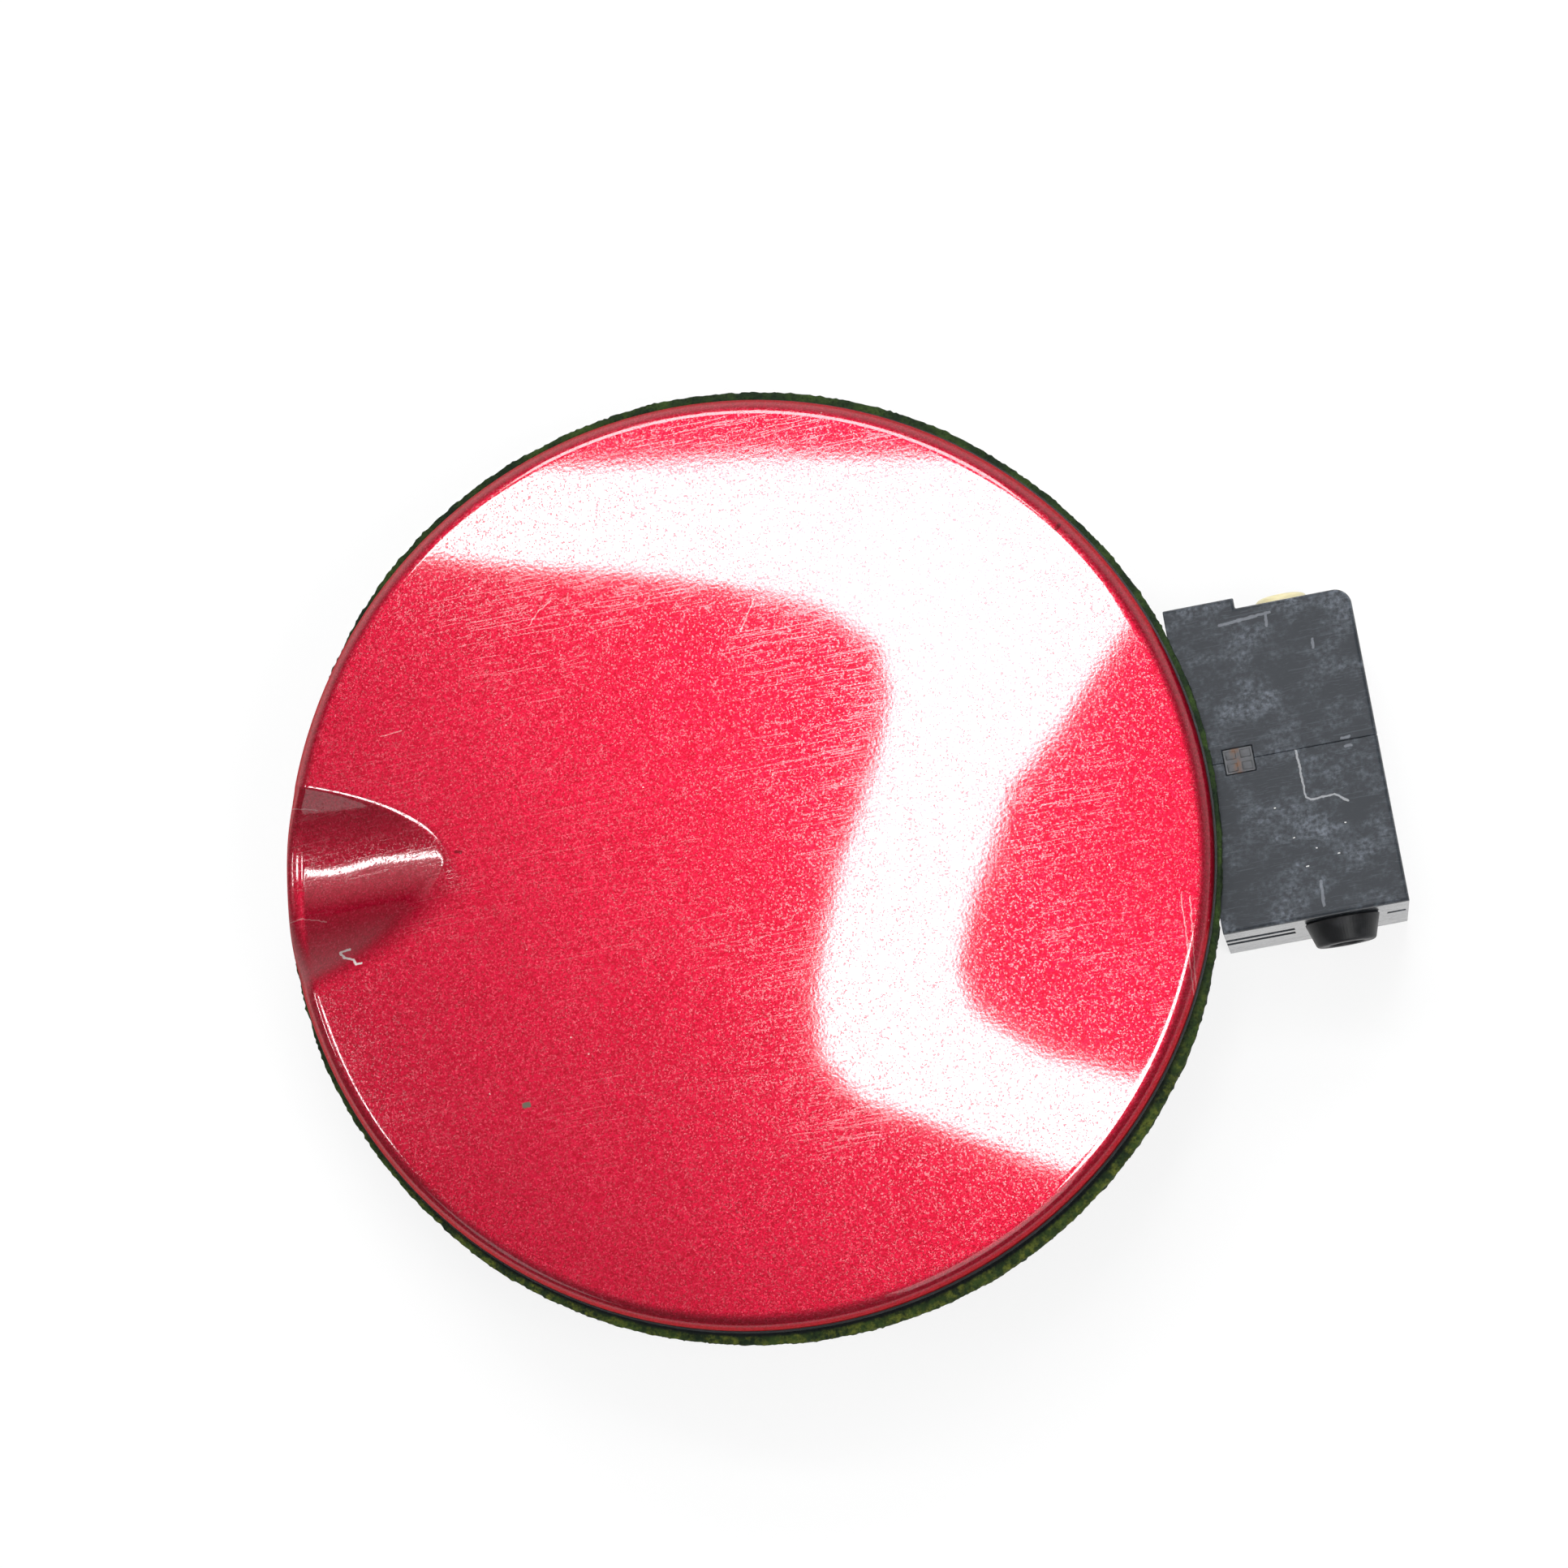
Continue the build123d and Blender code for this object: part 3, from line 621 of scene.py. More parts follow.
def scuffed_housing_plastic():
    """The housing's plastic: more rubbed, with the scratches and specks on its top."""
    plastic, colour = moulded_plastic(
        "scuffed_housing_plastic", (0.024, 0.028, 0.034, 1), (0.20, 0.225, 0.265, 1), 0.8
    )
    faint = plastic.math("MULTIPLY", plastic.strokes(FAINT_SCRATCHES, 0.5 * MM), 0.25)
    colour = plastic.blend(faint, colour, (0.42, 0.45, 0.50, 1))
    white = plastic.math("MULTIPLY", plastic.strokes(WHITE_SCRATCHES, 0.36 * MM), 0.36)
    colour = plastic.blend(white, colour, (0.66, 0.68, 0.70, 1))
    colour = plastic.blend(plastic.strokes(WHITE_SPECKS, 0.22 * MM), colour, (0.62, 0.62, 0.60, 1))
    plastic.set(Base_Color=colour)
    return plastic.material


def black_moulding():
    """Plain black plastic of the carrier, the arm and the tongue, lightly marked."""
    plastic, _ = moulded_plastic("black_moulding", (0.022, 0.023, 0.025, 1), (0.12, 0.12, 0.13, 1), 0.35)
    return plastic.material


def weathered_foam():
    """Green-black foam with open cells and yellow-green moss on its lower side."""
    foam = Finish("weathered_foam")
    pores = foam.cells(0.7 * MM, output="Distance")
    damp = foam.noise(6 * MM, 4, 0.6)
    colour = foam.blend(foam.spread(damp, 0.35, 0.7), (0.010, 0.020, 0.010, 1), (0.034, 0.062, 0.014, 1))
    low_side = foam.spread(foam.axis("Y"), -20 * MM, -70 * MM)
    moss = foam.math("MULTIPLY", foam.spread(foam.noise(1.6 * MM, 5, 0.7), 0.42, 0.70), low_side)
    colour = foam.blend(moss, colour, (0.105, 0.125, 0.020, 1))
    from_axis = foam.add("ShaderNodeVectorMath", operation="DISTANCE")
    foam.feed(from_axis.inputs[0], foam.flat())
    from_axis.inputs[1].default_value = door_axis
    past_rim = foam.math("SUBTRACT", from_axis.outputs["Value"], door_radius)
    sheltered = foam.spread(past_rim, 0.7 * MM, 1.3 * MM, 1, 0)
    colour = foam.blend(foam.math("MULTIPLY", sheltered, low_side), colour, (0.006, 0.008, 0.009, 1))
    foam.set(
        Base_Color=foam.blend(foam.spread(pores, 0.05, 0.5, 0.5, 0), colour, (0.004, 0.006, 0.005, 1)),
        Roughness=0.93,
        Specular_IOR_Level=0.2,
        Normal=foam.bump(pores, 0.8, 0.3 * MM),
    )
    return foam.material


def cream_nylon():
    """Natural nylon, a little yellowed."""
    nylon = Finish("cream_nylon")
    age = nylon.noise(3 * MM, 3)
    nylon.set(
        Base_Color=nylon.blend(age, (0.80, 0.74, 0.50, 1), (0.66, 0.58, 0.30, 1)),
        Roughness=0.38,
        Subsurface_Weight=0.15,
        Subsurface_Radius=(0.002, 0.0016, 0.001),
        Subsurface_Scale=0.5,
        Normal=nylon.bump(nylon.noise(0.5 * MM), 0.1, 0.05 * MM),
    )
    return nylon.material


def black_rubber():
    """Soft black rubber with a dusty bloom."""
    rubber = Finish("black_rubber")
    bloom = rubber.spread(rubber.noise(4 * MM, 4, 0.6), 0.4, 0.75)
    rubber.set(
        Base_Color=rubber.blend(bloom, (0.007, 0.0075, 0.0085, 1), (0.026, 0.027, 0.030, 1)),
        Roughness=rubber.spread(bloom, 0, 1, 0.42, 0.65),
        Specular_IOR_Level=0.3,
        Normal=rubber.bump(rubber.noise(0.3 * MM, 3), 0.25, 0.05 * MM),
    )
    return rubber.material


def zinc_plate():
    """Zinc-plated steel, faintly mottled, with rust in spots."""
    zinc = Finish("zinc_plate")
    mottle = zinc.noise(1.6 * MM, 4, 0.6)
    rust = zinc.spread(zinc.noise(2.4 * MM, 5, 0.7), 0.6, 0.7)
    colour = zinc.blend(mottle, (0.50, 0.50, 0.49, 1), (0.66, 0.65, 0.62, 1))
    zinc.set(
        Base_Color=zinc.blend(rust, colour, (0.20, 0.085, 0.03, 1)),
        Metallic=zinc.spread(rust, 0, 1, 1.0, 0.1),
        Roughness=zinc.spread(rust, 0, 1, 0.33, 0.85),
        Normal=zinc.bump(zinc.noise(0.3 * MM, 3), 0.15, 0.05 * MM),
    )
    return zinc.material


def dulled_clip_steel():
    """Dull grey sheet steel with a rusty stain along the clip's middle."""
    steel = Finish("dulled_clip_steel")
    mottle = steel.noise(1.1 * MM, 4, 0.65)
    clip_low, clip_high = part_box("seam_clip")
    middle = (clip_low.x + clip_high.x) / 2 - 0.5 * MM
    off_middle = steel.math("ABSOLUTE", steel.math("SUBTRACT", steel.axis("X"), middle))
    band = steel.spread(off_middle, 0.1 * MM, 1.2 * MM, 1, 0)
    stain = steel.math("MULTIPLY", band, steel.spread(mottle, 0.35, 0.6))
    colour = steel.blend(mottle, (0.030, 0.032, 0.036, 1), (0.10, 0.104, 0.112, 1))
    steel.set(
        Base_Color=steel.blend(stain, colour, (0.11, 0.052, 0.026, 1)),
        Metallic=0.35,
        Roughness=0.55,
        Normal=steel.bump(mottle, 0.2, 0.06 * MM),
    )
    return steel.material


def spring_steel():
    """Dark rolled spring steel."""
    steel = Finish("spring_steel")
    grain = steel.noise(0.4 * MM, 3, 0.6, steel.mapped(scale=(1, 1, 0.05)))
    steel.set(
        Base_Color=steel.blend(grain, (0.22, 0.22, 0.23, 1), (0.42, 0.42, 0.43, 1)),
        Metallic=1.0,
        Roughness=steel.spread(grain, 0.2, 0.8, 0.28, 0.45),
    )
    return steel.material


# Painted skin


def crease_min(first, second, round_size):
    """Lower of two heights, with the crease between them rounded over the given size."""
    overlap = max(round_size - abs(first - second), 0.0) / round_size
    return min(first, second) - overlap * overlap * round_size / 4


def ease(value):
    """Smooth step from 0 to 1."""
    value = min(max(value, 0.0), 1.0)
    return value * value * (3 - 2 * value)


def dome_height(radius):
    """Height of the plain dome at a distance from the door's centre."""
    return dome_z + math.sqrt(dome_radius**2 - radius**2)


scoop_half = SCOOP_WIDTH / 2
scoop_radius = (scoop_half**2 + SCOOP_DEPTH**2) / (2 * SCOOP_DEPTH)
mouth_x = -math.sqrt(door_radius**2 - SCOOP_Y**2) + MOUTH_INSET
mouth_distance = math.hypot(mouth_x, SCOOP_Y)
mouth_angle = math.atan2(SCOOP_Y, mouth_x)
scoop_bottom = dome_height(mouth_distance) - SCOOP_DEPTH
scoop_slope = (dome_height(mouth_distance - SCOOP_LENGTH) - scoop_bottom) / SCOOP_LENGTH

# The rolled rim: the centre of its bend, the angle where it leaves the dome, and the radius there
bend_r = door_radius - EDGE_RADIUS
bend_z = dome_z + math.sqrt((dome_radius - EDGE_RADIUS) ** 2 - bend_r**2)
bend_start = math.asin(bend_r / (dome_radius - EDGE_RADIUS))
shoulder = dome_radius * math.sin(bend_start)


def scoop_along(x, y):
    """Distance along the scoop's valley from its mouth, at a point given from the door's centre."""
    return (x - mouth_x) * math.cos(SCOOP_YAW) + (y - SCOOP_Y) * math.sin(SCOOP_YAW)


def scoop_across(x, y):
    """Distance from the scoop's valley, at a point given from the door's centre."""
    return (y - SCOOP_Y) * math.cos(SCOOP_YAW) - (x - mouth_x) * math.sin(SCOOP_YAW)


def scoop_drop(x, y):
    """How far the scoop lowers the dome at a point given from the door's centre."""
    across = scoop_across(x, y)
    if abs(across) >= scoop_radius:
        return 0.0
    wall = scoop_radius - math.sqrt(scoop_radius**2 - across**2)
    floor = scoop_bottom + scoop_slope * scoop_along(x, y) + wall * math.hypot(1, scoop_slope)
    soft = ease(-across / (CREASE_FADE * scoop_half) + CREASE_SHIFT)
    round_size = CREASE_CRISP + (CREASE_SOFT - CREASE_CRISP) * soft
    dome = dome_height(math.hypot(x, y))
    return dome - crease_min(dome, floor, round_size)


def rolled_edge(radius, steps):
    """Profile points round the rolled rim, from the dome out to the lip."""
    angles = [bend_start + (math.pi / 2 - bend_start) * step / steps for step in range(steps + 1)]
    return [(bend_r + radius * math.sin(a), bend_z + radius * math.cos(a)) for a in angles]


def skin_profile():
    """Half section of the sheet: out over the dome, round the lip and back inside to the centre."""
    scoop_start = door_radius - SCOOP_LENGTH - SCOOP_MARGIN
    radii = [scoop_start * step / CENTRE_RINGS for step in range(CENTRE_RINGS + 1)]
    radii += [scoop_start + (shoulder - scoop_start) * step / SCOOP_RINGS for step in range(1, SCOOP_RINGS)]
    profile = [(r, dome_height(r)) for r in radii]
    profile += rolled_edge(EDGE_RADIUS, EDGE_STEPS)
    inner = door_radius - SHEET
    profile += [(door_radius, lip_z + 2 * HEM_ROUND), (door_radius, lip_z + HEM_ROUND)]
    profile += [(door_radius - HEM_ROUND, lip_z), (inner + HEM_ROUND, lip_z), (inner, lip_z + HEM_ROUND)]
    profile += reversed(rolled_edge(EDGE_RADIUS - SHEET, BACK_EDGE_STEPS))
    back_edge = profile[-1][0]
    back_radii = [back_edge * (1 - step / BACK_RINGS) for step in range(1, BACK_RINGS + 1)]
    return profile + [(r, dome_height(r) - SHEET) for r in back_radii]


def mark_hem(skin):
    """Attribute for the sheet's bare lower edge."""
    hem = skin.data.attributes.new("hem", "FLOAT", "POINT")
    for vertex, mark in zip(skin.data.vertices, hem.data):
        mark.value = 1.0 if vertex.co.z < lip_z + HEM_BAND else 0.0


def press_scoop(skin):
    """Lower the skin at the scoop. The rolled rim goes down with it and tightens at the mouth."""
    shares = [step / MOUTH_STEPS for step in range(-MOUTH_STEPS, MOUTH_STEPS + 1)]
    sweep = [mouth_angle + MOUTH_SECTOR * share for share in shares]
    deepest = max(scoop_drop(shoulder * math.cos(a), shoulder * math.sin(a)) for a in sweep)
    edge_z = dome_height(shoulder)
    for vertex in skin.data.vertices:
        x = vertex.co.x - door_x
        y = vertex.co.y - door_y
        r = math.hypot(x, y)
        if r < scoop_half:
            continue
        inside = min(r, shoulder) / r
        drop = scoop_drop(x * inside, y * inside)
        if drop <= 0:
            continue
        share = drop / deepest
        if r > shoulder or vertex.co.z < edge_z - 2 * SHEET:
            below = edge_z - vertex.co.z
            vertex.co.z = edge_z - drop - below * (1 - (1 - MOUTH_ROLL) * share)
        else:
            vertex.co.z -= drop
        near_rim = ease((r / door_radius - MOUTH_PUSH_START) / (1 - MOUTH_PUSH_START))
        push = SCOOP_LIP * ease(share) * near_rim / r
        vertex.co.x += x * push
        vertex.co.y += y * push


def mark_painted_scoop_shade(skin):
    """Attribute for the scoop's lower wall, where the paint gets a painted shade and a smoother coat."""
    painted_scoop_shade = skin.data.attributes.new("painted_scoop_shade", "FLOAT", "POINT")
    for vertex, mark in zip(skin.data.vertices, painted_scoop_shade.data):
        x = vertex.co.x - door_x
        y = vertex.co.y - door_y
        if math.hypot(x, y) > scoop_half:
            below = ease((WELL_EDGE - scoop_across(x, y)) / (WELL_FADE * scoop_half))
            mark.value = below * ease(scoop_drop(x, y) / WELL_DEPTH)


def make_painted_skin():
    """Spun sheet with a rolled rim, pressed in at the scoop, its mouth pushed out a little."""
    start = mouth_angle - MOUTH_SECTOR
    outward = Vector((math.cos(start), math.sin(start), 0))
    line = [door_axis + outward * r + Vector((0, 0, z)) for r, z in skin_profile()]
    skin = draw_line("painted_skin", line)
    mouth_turn = 2 * MOUTH_SECTOR
    bpy.ops.mesh.spin(steps=MOUTH_STEPS, angle=-mouth_turn, center=door_axis, axis=(0, 0, 1))
    bpy.ops.mesh.spin(steps=REST_STEPS, angle=mouth_turn - math.tau, center=door_axis, axis=(0, 0, 1))
    settle(skin)
    mark_hem(skin)
    press_scoop(skin)
    mark_painted_scoop_shade(skin)
    smooth(skin, SKIN_SMOOTH)
    return skin


# Foam ring


def foam_reach(angle):
    """How much further the foam stands out at an angle in degrees from the image's right."""
    for (low, first), (high, second) in zip(FOAM_REACH, FOAM_REACH[1:]):
        if low <= angle <= high:
            return (first + (second - first) * ease((angle - low) / (high - low))) * MM
    return 0.0


def even_steps(first, last, steps):
    """Points spread evenly from one point to another, the first left out."""
    start = Vector(first)
    run = Vector(last) - start
    return [start + run * step / steps for step in range(1, steps + 1)]


def tear_foam(ring, outer, inner, low, high):
    """Push the foam in and out by noise, most at its outer edge, and thin it under the scoop."""
    edge_z = dome_height(bend_r)
    lip_height = edge_z - lip_z
    for vertex in ring.data.vertices:
        spot = Vector((vertex.co.x - door_x, vertex.co.y - door_y, 0))
        r = spot.length
        angle = math.degrees(math.atan2(spot.dot(image_up), spot.dot(image_right))) % 360
        edge = ease((r - inner) / (outer - inner))
        rag = sum(noise.noise(vertex.co * waves) * size for waves, size in FOAM_TEARS)
        out = edge * (foam_reach(angle) + rag * MM)
        vertex.co.x += spot.x / r * out
        vertex.co.y += spot.y / r * out
        level = (vertex.co.z - low) / (high - low)
        lump = abs(noise.noise(vertex.co * FOAM_LUMP_WAVES + FOAM_LUMP_SHIFT)) * FOAM_LUMP
        vertex.co.z += lump if level < 0.5 else -lump
        drop = scoop_drop(spot.x / r * bend_r, spot.y / r * bend_r)
        if drop > 0 and level > FOAM_UPPER_SHARE:
            lip_level = edge_z - drop - lip_height * (1 - (1 - MOUTH_ROLL) * min(drop / SCOOP_DEPTH, 1))
            vertex.co.z = min(vertex.co.z, max(lip_level - FOAM_LIP_GAP, low + FOAM_LEAST))


def make_foam_ring():
    """Ragged foam ring under the flange, standing out further on its lower right side."""
    low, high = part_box("foam_seal")
    outer = (high.y - low.y) / 2
    inner = outer - FOAM_WIDTH
    corners = [(inner, high.z), (outer, high.z), (outer, low.z), (inner, low.z), (inner, high.z)]
    section = [Vector(corners[0])]
    for side, (first, last) in enumerate(zip(corners, corners[1:])):
        section += even_steps(first, last, FOAM_DOWN_STEPS if side % 2 else FOAM_ACROSS_STEPS)
    ring = draw_line("ragged_foam_ring", [door_axis + Vector((r, 0, z)) for r, z in section])
    bpy.ops.mesh.spin(steps=FOAM_TURN_STEPS, angle=math.tau, center=door_axis, axis=(0, 0, 1))
    settle(ring)
    tear_foam(ring, outer, inner, low.z, high.z)
    smooth(ring, FOAM_SMOOTH)
    return ring


# Pieces of the hinge and the back


def softened(name, node_name, width):
    """Copy of a solid's mesh with its sharp edges rounded a little."""
    start_modelling()
    piece = bpy.data.objects.new(name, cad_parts[node_name].data.copy())
    bpy.context.collection.objects.link(piece)
    piece.select_set(True)
    bpy.context.view_layer.objects.active = piece
    bpy.ops.object.mode_set(mode="EDIT")
    bpy.ops.mesh.select_all(action="SELECT")
    bpy.ops.mesh.remove_doubles(threshold=MERGE_GAP)
    bpy.ops.mesh.dissolve_limited(angle_limit=math.radians(FLAT_ANGLE))
    bpy.ops.object.mode_set(mode="OBJECT")
    bevel_angle = math.radians(BEVEL_ANGLE)
    add_modifier(piece, "BEVEL", width=width, segments=2, limit_method="ANGLE", angle_limit=bevel_angle)
    smooth(piece, CRISP_ANGLE)
    add_modifier(piece, "WEIGHTED_NORMAL", weight=100, keep_sharp=True)
    return piece


def bend_points(centre_radius, centre_height, radius, first, last, steps=5):
    """Profile points round an edge, by angle in degrees from outwards towards along the axis."""
    angles = [math.radians(first + (last - first) * step / steps) for step in range(steps + 1)]
    return [(centre_radius + radius * math.cos(a), centre_height + radius * math.sin(a)) for a in angles]


def make_end_knob():
    """Turned rubber knob with a rounded tip round a shallow dimple."""
    low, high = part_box("end_knob")
    length = high.y - low.y
    root = (high.x - low.x) / 2
    bore_end = length - KNOB_END_WALL
    floor = length - KNOB_DIMPLE_DEPTH
    tip_r = KNOB_TIP_RADIUS - KNOB_TIP_ROUND
    dimple_top = length - KNOB_DIMPLE_ROUND
    profile = [(0, bore_end), (PIN_BORE, bore_end), (PIN_BORE, 0)]
    profile += [(root - KNOB_ROOT_ROUND, 0), (root, KNOB_ROOT_ROUND)]
    profile += bend_points(tip_r, length - KNOB_TIP_ROUND, KNOB_TIP_ROUND, 10, 90)
    profile += bend_points(KNOB_DIMPLE_RADIUS, dimple_top, KNOB_DIMPLE_ROUND, 90, 180, 3)
    profile += [(KNOB_DIMPLE_RADIUS - 2 * KNOB_DIMPLE_ROUND, floor), (0, floor)]
    centre = Vector(((low.x + high.x) / 2, high.y, (low.z + high.z) / 2))
    return lathe("turned_end_knob", profile, centre, Vector((0, -1, 0)), Vector((1, 0, 0)), TURN_STEPS)


def make_cap_bush():
    """Nylon bush whose head has a rounded rim."""
    low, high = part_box("pin_cap_bush")
    length = high.y - low.y
    head = (high.x - low.x) / 2
    seat = length - CAP_HEAD_HEIGHT
    profile = [(0, seat), (PIN_BORE, seat), (PIN_BORE, 0), (CAP_SHANK_RADIUS, 0), (CAP_SHANK_RADIUS, seat)]
    profile += [(head - CAP_SEAT_ROUND, seat), (head, seat + CAP_SEAT_ROUND)]
    profile += bend_points(head - CAP_HEAD_ROUND, length - CAP_HEAD_ROUND, CAP_HEAD_ROUND, 0, 90, 7)
    profile += [(0, length)]
    centre = Vector(((low.x + high.x) / 2, low.y, (low.z + high.z) / 2))
    return lathe("turned_cap_bush", profile, centre, Vector((0, 1, 0)), Vector((1, 0, 0)), TURN_STEPS)


def add_block(centre, size):
    """Plain block at its place and size, to be cut with or worked on."""
    start_modelling()
    bpy.ops.mesh.primitive_cube_add(size=1, location=centre)
    block = bpy.context.object
    block.scale = size
    return settle(block)


def make_seam_clip():
    """Clip with its edges rounded and four square pads pressed up on its plate."""
    low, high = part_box("seam_clip")
    pieces = [softened("pressed_seam_clip", "seam_clip", CLIP_EDGE)]
    long_side = (high.x - low.x - 2 * PAD_GAP) / 2
    short_side = (high.y - low.y - 2 * PAD_GAP) / 2
    pad_size = (long_side - PAD_GAP / 2, short_side - PAD_GAP / 2, 2 * PAD_RISE)
    for column in (-1, 1):
        for row in (-1, 1):
            x = (low.x + high.x) / 2 + column * (long_side + PAD_GAP) / 2
            y = (low.y + high.y) / 2 + row * (short_side + PAD_GAP) / 2
            pad = add_block((x, y, high.z), pad_size)
            add_modifier(pad, "BEVEL", width=PAD_EDGE, segments=2)
            pieces.append(pad)
    clip = join("pressed_seam_clip", pieces)
    smooth(clip, CRISP_ANGLE)
    return clip


def make_screw(x, y, low, high):
    """Screw driven upwards, its round head with a cross recess."""
    length = high - low
    round_r = SCREW_HEAD_RADIUS - SCREW_HEAD_ROUND
    profile = [(0, 0), (SCREW_FACE_RADIUS, SCREW_FACE_RISE)]
    profile += bend_points(round_r, SCREW_ROUND_HEIGHT, SCREW_HEAD_ROUND, -80, 0, 6)
    profile += [(SCREW_HEAD_RADIUS, SCREW_HEAD_HEIGHT), (SCREW_RADIUS, SCREW_HEAD_HEIGHT)]
    profile += [(SCREW_RADIUS, length), (0, length)]
    centre = Vector((x, y, low))
    screw = lathe("screw", profile, centre, Vector((0, 0, 1)), Vector((1, 0, 0)), SCREW_STEPS)
    for size in ((RECESS_LENGTH, RECESS_WIDTH), (RECESS_WIDTH, RECESS_LENGTH)):
        cutter = add_block(centre, (*size, 2 * RECESS_DEPTH))
        add_modifier(screw, "BOOLEAN", operation="DIFFERENCE", object=cutter, solver="EXACT")
        bpy.data.objects.remove(cutter)
    return screw


def make_screws(name, node_name, places):
    """All screws of one solid, at their places."""
    low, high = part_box(node_name)
    screws = join(name, [make_screw(x, y, low.z, high.z) for x, y in places])
    smooth(screws)
    return screws


def arm_screw_places():
    """Two screws near the neck, one at the pad's end."""
    low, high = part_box("arm_screws")
    near = high.x - SCREW_HEAD_RADIUS
    return [
        (near, high.y - SCREW_HEAD_RADIUS),
        (near, low.y + SCREW_HEAD_RADIUS),
        (low.x + SCREW_HEAD_RADIUS, (low.y + high.y) / 2),
    ]


def latch_screw_places():
    """Two screws side by side in the tongue's foot."""
    low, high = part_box("latch_screws")
    middle = (low.x + high.x) / 2
    return [(middle, high.y - SCREW_HEAD_RADIUS), (middle, low.y + SCREW_HEAD_RADIUS)]


# Camera, lights and floor


def place_camera():
    """Camera above the door, leaning a little to the right and down in the image."""
    camera = bpy.data.objects.new("camera", bpy.data.cameras.new("camera"))
    bpy.context.collection.objects.link(camera)
    lean = Vector((0, 0, 1)) + image_right * CAMERA_LEAN_RIGHT - image_up * CAMERA_LEAN_DOWN
    spot = door_centre + lean.normalized() * CAMERA_DISTANCE
    aim = door_centre + image_right * AIM_RIGHT + image_up * AIM_UP
    back = (spot - aim).normalized()
    side = image_up.cross(back).normalized()
    upward = back.cross(side)
    turn = Matrix((side, upward, back)).transposed().to_4x4()
    camera.matrix_world = Matrix.Translation(spot) @ turn
    camera.data.lens = LENS
    camera.data.sensor_width = SENSOR
    camera.data.clip_start = CAMERA_NEAR
    bpy.context.scene.camera = camera


def image_place(right, up, height):
    """Place in metres to the right and up in the image from the door's centre, and above the floor."""
    spot = door_centre + image_right * right + image_up * up
    return Vector((spot.x, spot.y, height))


def hang_panel(name, outline, height, radiance):
    """Flat panel that shines. The camera doesn't see it, the paint does."""
    panel = draw_line(name, [image_place(right, up, height) for right, up in outline])
    bpy.ops.mesh.edge_face_add()
    settle(panel)
    finish = Finish(name)
    glow = finish.add("ShaderNodeEmission")
    finish.feed(glow.inputs["Strength"], radiance)
    finish.feed(finish.tree.nodes["Material Output"].inputs["Surface"], glow.outputs[0])
    panel.data.materials.append(finish.material)
    panel.visible_camera = False
    return finish, glow


def hang_glow():
    """Dim panel that fades out up and down in the image, for the soft glow along the scoop's valley."""
    corners = [(GLOW_RIGHT[side], GLOW_UP[end]) for side, end in ((0, 0), (1, 0), (1, 1), (0, 1))]
    finish, glow = hang_panel("soft_glow", corners, GLOW_HEIGHT, 0.0)
    along = finish.add("ShaderNodeVectorMath", operation="DOT_PRODUCT")
    finish.feed(along.inputs[0], finish.place)
    along.inputs[1].default_value = image_up
    bottom, top = (door_centre.dot(image_up) + end for end in GLOW_UP)
    peak = bottom + GLOW_PEAK * (top - bottom)
    rise = finish.spread(along.outputs["Value"], bottom, peak)
    fall = finish.spread(along.outputs["Value"], peak, top, GLOW_RADIANCE, 0)
    finish.feed(glow.inputs["Strength"], finish.math("MULTIPLY", rise, fall))


def light_world():
    """World that is dim overhead and below the image, and bright at the horizon past its top."""
    world = bpy.context.scene.world or bpy.data.worlds.new("world")
    bpy.context.scene.world = world
    world.use_nodes = True
    nodes = world.node_tree.nodes
    links = world.node_tree.links

    def ramp(value, band, low, high):
        """Straight ramp over a band of the value, from one level to another."""
        node = nodes.new("ShaderNodeMapRange")
        links.new(value, node.inputs["Value"])
        node.inputs["From Min"].default_value = band[0]
        node.inputs["From Max"].default_value = band[1]
        node.inputs["To Min"].default_value = low
        node.inputs["To Max"].default_value = high
        return node.outputs["Result"]

    direction = nodes.new("ShaderNodeTexCoord").outputs["Generated"]
    split = nodes.new("ShaderNodeSeparateXYZ")
    links.new(direction, split.inputs[0])
    away = nodes.new("ShaderNodeVectorMath")
    away.operation = "DOT_PRODUCT"
    links.new(direction, away.inputs[0])
    away.inputs[1].default_value = image_up
    light = nodes.new("ShaderNodeMath")
    light.operation = "MULTIPLY"
    links.new(ramp(split.outputs["Z"], HORIZON_BAND, HORIZON_LIGHT, WORLD_LIGHT), light.inputs[0])
    links.new(ramp(away.outputs["Value"], FAR_BAND, WORLD_LIGHT, 1.0), light.inputs[1])
    least = nodes.new("ShaderNodeMath")
    least.operation = "MAXIMUM"
    links.new(light.outputs[0], least.inputs[0])
    least.inputs[1].default_value = WORLD_LIGHT
    links.new(least.outputs[0], nodes["Background"].inputs["Strength"])
    nodes["Background"].inputs["Color"].default_value = (1, 1, 1, 1)


def place_fill():
    """Weak soft lamp to the lower right of the image, so that the sides don't go black."""
    lamp = bpy.data.lights.new("soft_fill", "AREA")
    lamp.size = FILL_SIZE
    lamp.energy = FILL_RADIANCE * math.pi * FILL_SIZE**2
    light = bpy.data.objects.new("soft_fill", lamp)
    bpy.context.collection.objects.link(light)
    spot = image_place(*FILL_PLACE)
    light.location = spot
    light.rotation_euler = (spot - door_centre).to_track_quat("Z", "Y").to_euler()
    light.visible_camera = False


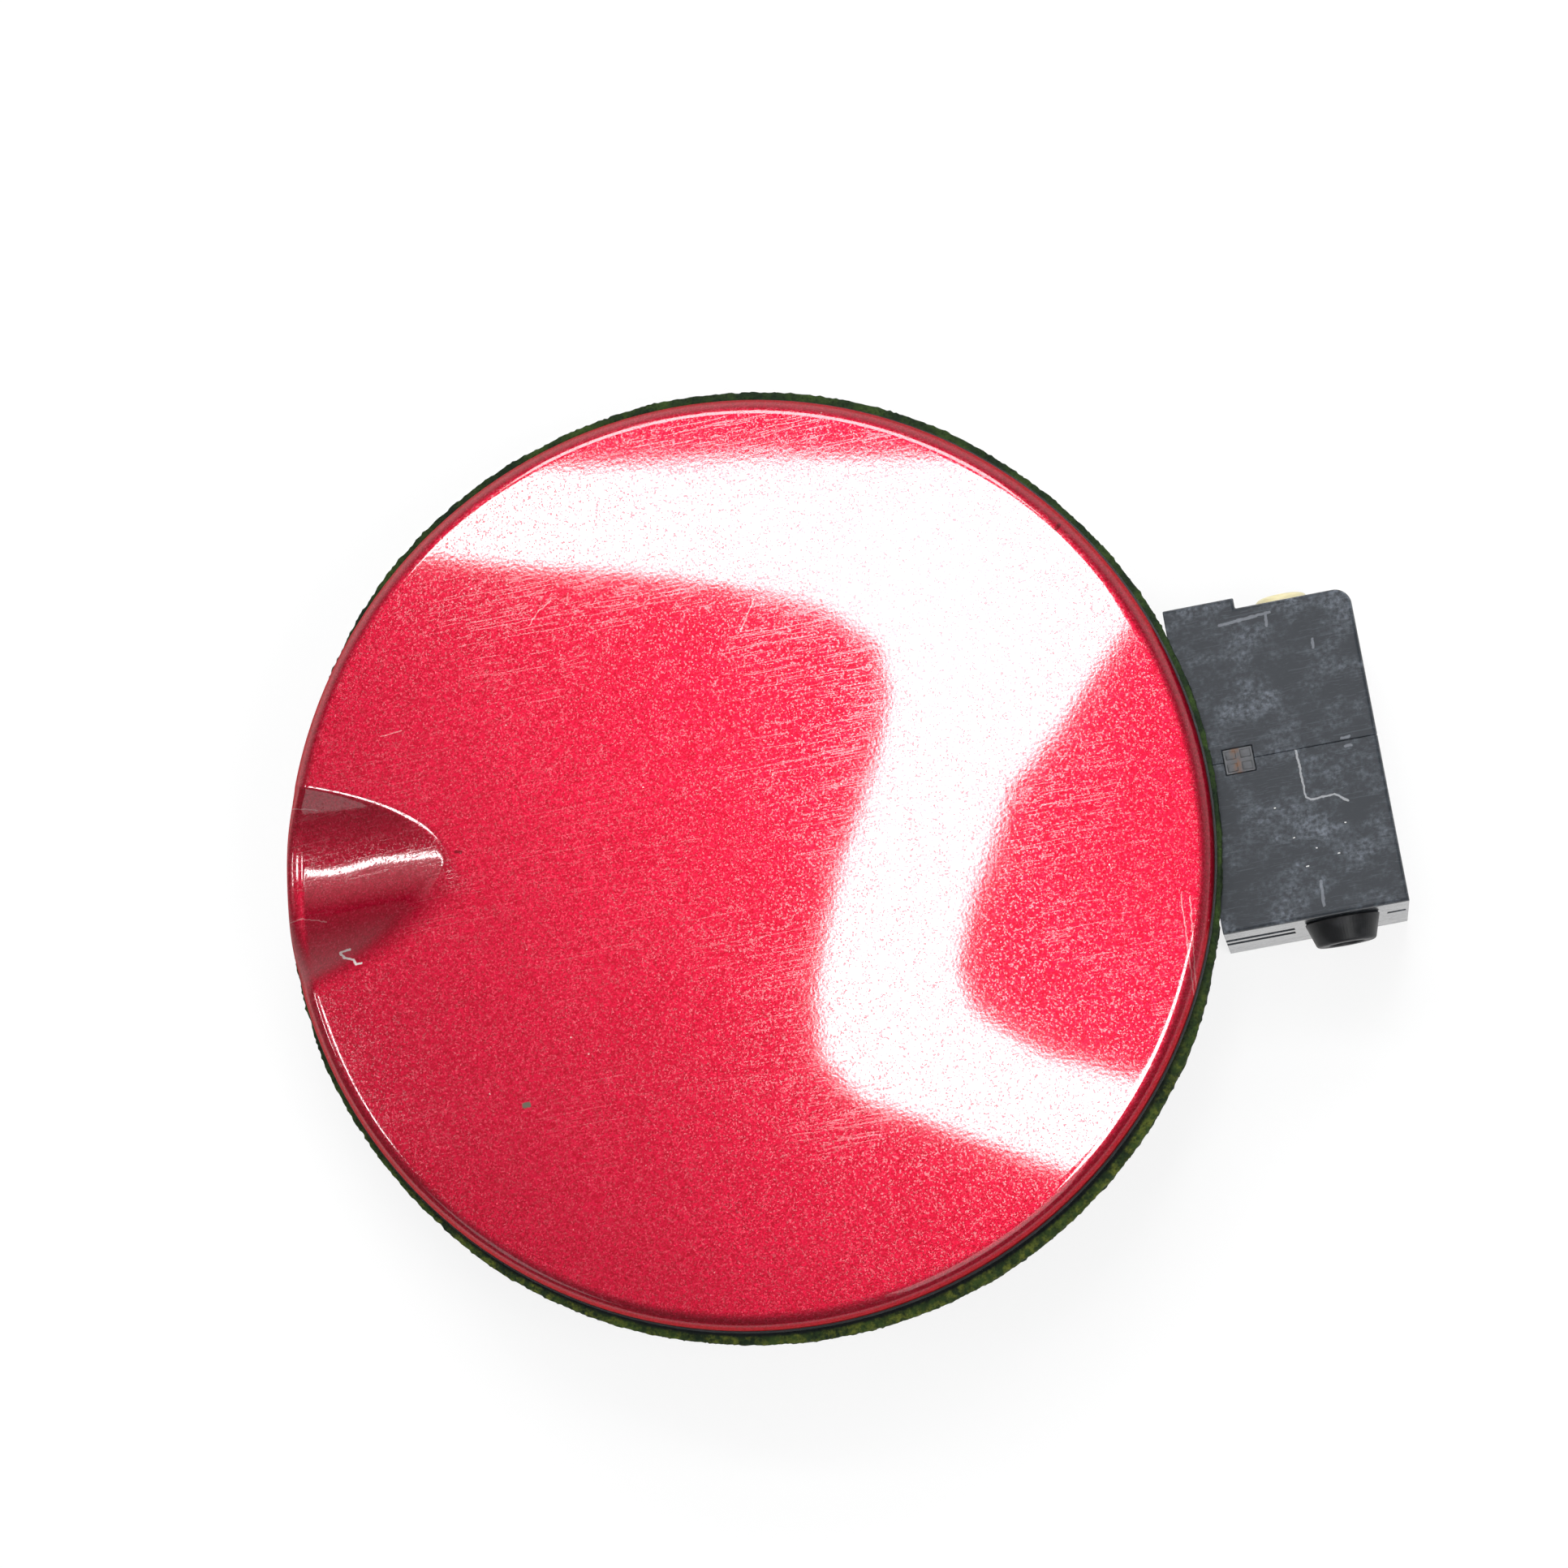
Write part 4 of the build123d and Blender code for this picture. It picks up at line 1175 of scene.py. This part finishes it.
def lay_floor():
    """Pale floor, lifted towards white where the camera or a reflection sees it."""
    start_modelling()
    bpy.ops.mesh.primitive_plane_add(size=FLOOR_SIZE, location=(0, 0, 0))
    floor = bpy.context.object
    floor.name = "floor"
    finish = Finish("pale_floor")
    shade = finish.noise(0.5, 2)
    finish.set(Base_Color=finish.blend(shade, (0.90, 0.90, 0.90, 1), (0.93, 0.93, 0.93, 1)), Roughness=0.9)
    glow = finish.add("ShaderNodeEmission")
    seen = finish.add("ShaderNodeLightPath")
    looks = finish.math("ADD", seen.outputs["Is Camera Ray"], seen.outputs["Is Glossy Ray"], clamp=True)
    lifted = finish.add("ShaderNodeMixShader")
    finish.feed(lifted.inputs[0], finish.math("MULTIPLY", looks, FLOOR_LIFT))
    finish.feed(lifted.inputs[1], finish.shader.outputs[0])
    finish.feed(lifted.inputs[2], glow.outputs[0])
    finish.feed(finish.tree.nodes["Material Output"].inputs["Surface"], lifted.outputs[0])
    floor.data.materials.append(finish.material)


# The finished door

paint = flake_red_paint()
housing_plastic = scuffed_housing_plastic()
black_plastic = black_moulding()
foam_finish = weathered_foam()
nylon = cream_nylon()
rubber = black_rubber()
zinc = zinc_plate()
clip_steel = dulled_clip_steel()
leaf_steel = spring_steel()

# Solids that stay as they are and only get a finish
NODE_FINISHES = {
    "arm_bush_upper": nylon,
    "arm_bush_lower": nylon,
    "hinge_pin": zinc,
    "pin_lower_bush": nylon,
    "over_centre_spring": leaf_steel,
}
for node_name, finish in NODE_FINISHES.items():
    for material_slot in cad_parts[node_name].material_slots:
        material_slot.material = finish

dress(make_painted_skin(), "door", "red_paint", paint, "outer_skin")
foam_ring = make_foam_ring()
dress(foam_ring, "door", "foam", foam_finish, "foam_seal")

# Solids that only get rounded edges: solid, body, slot, finish and width of the rounding
SOFTENED = (
    ("carrier_panel", "door", "black_plastic", black_plastic, 0.25 * MM),
    ("hinge_arm", "door", "black_plastic", black_plastic, 0.5 * MM),
    ("latch_tongue", "door", "black_plastic", black_plastic, 0.4 * MM),
    ("bump_stop_upper", "door", "rubber", rubber, 0.4 * MM),
    ("bump_stop_lower", "door", "rubber", rubber, 0.4 * MM),
    ("housing_upper_half", "hinge_base", "black_plastic", housing_plastic, 0.22 * MM),
    ("housing_lower_half", "hinge_base", "black_plastic", housing_plastic, 0.22 * MM),
)
for node_name, body, slot, finish, width in SOFTENED:
    dress(softened(f"edged_{node_name}", node_name, width), body, slot, finish, node_name)
dress(make_seam_clip(), "hinge_base", "zinc_steel", clip_steel, "seam_clip")
dress(make_end_knob(), "hinge_base", "rubber", rubber, "end_knob")
dress(make_cap_bush(), "hinge_base", "nylon", nylon, "pin_cap_bush")
arm_screws = make_screws("driven_arm_screws", "arm_screws", arm_screw_places())
dress(arm_screws, "door", "zinc_steel", zinc, "arm_screws")
latch_screws = make_screws("driven_latch_screws", "latch_screws", latch_screw_places())
dress(latch_screws, "door", "zinc_steel", zinc, "latch_screws")

place_camera()
for radiance, outline in BRIGHT_PANELS:
    hang_panel("bright_panel", outline, PANEL_HEIGHT, radiance)
hang_glow()
place_fill()
light_world()
lay_floor()
bpy.context.scene.view_settings.view_transform = "Standard"
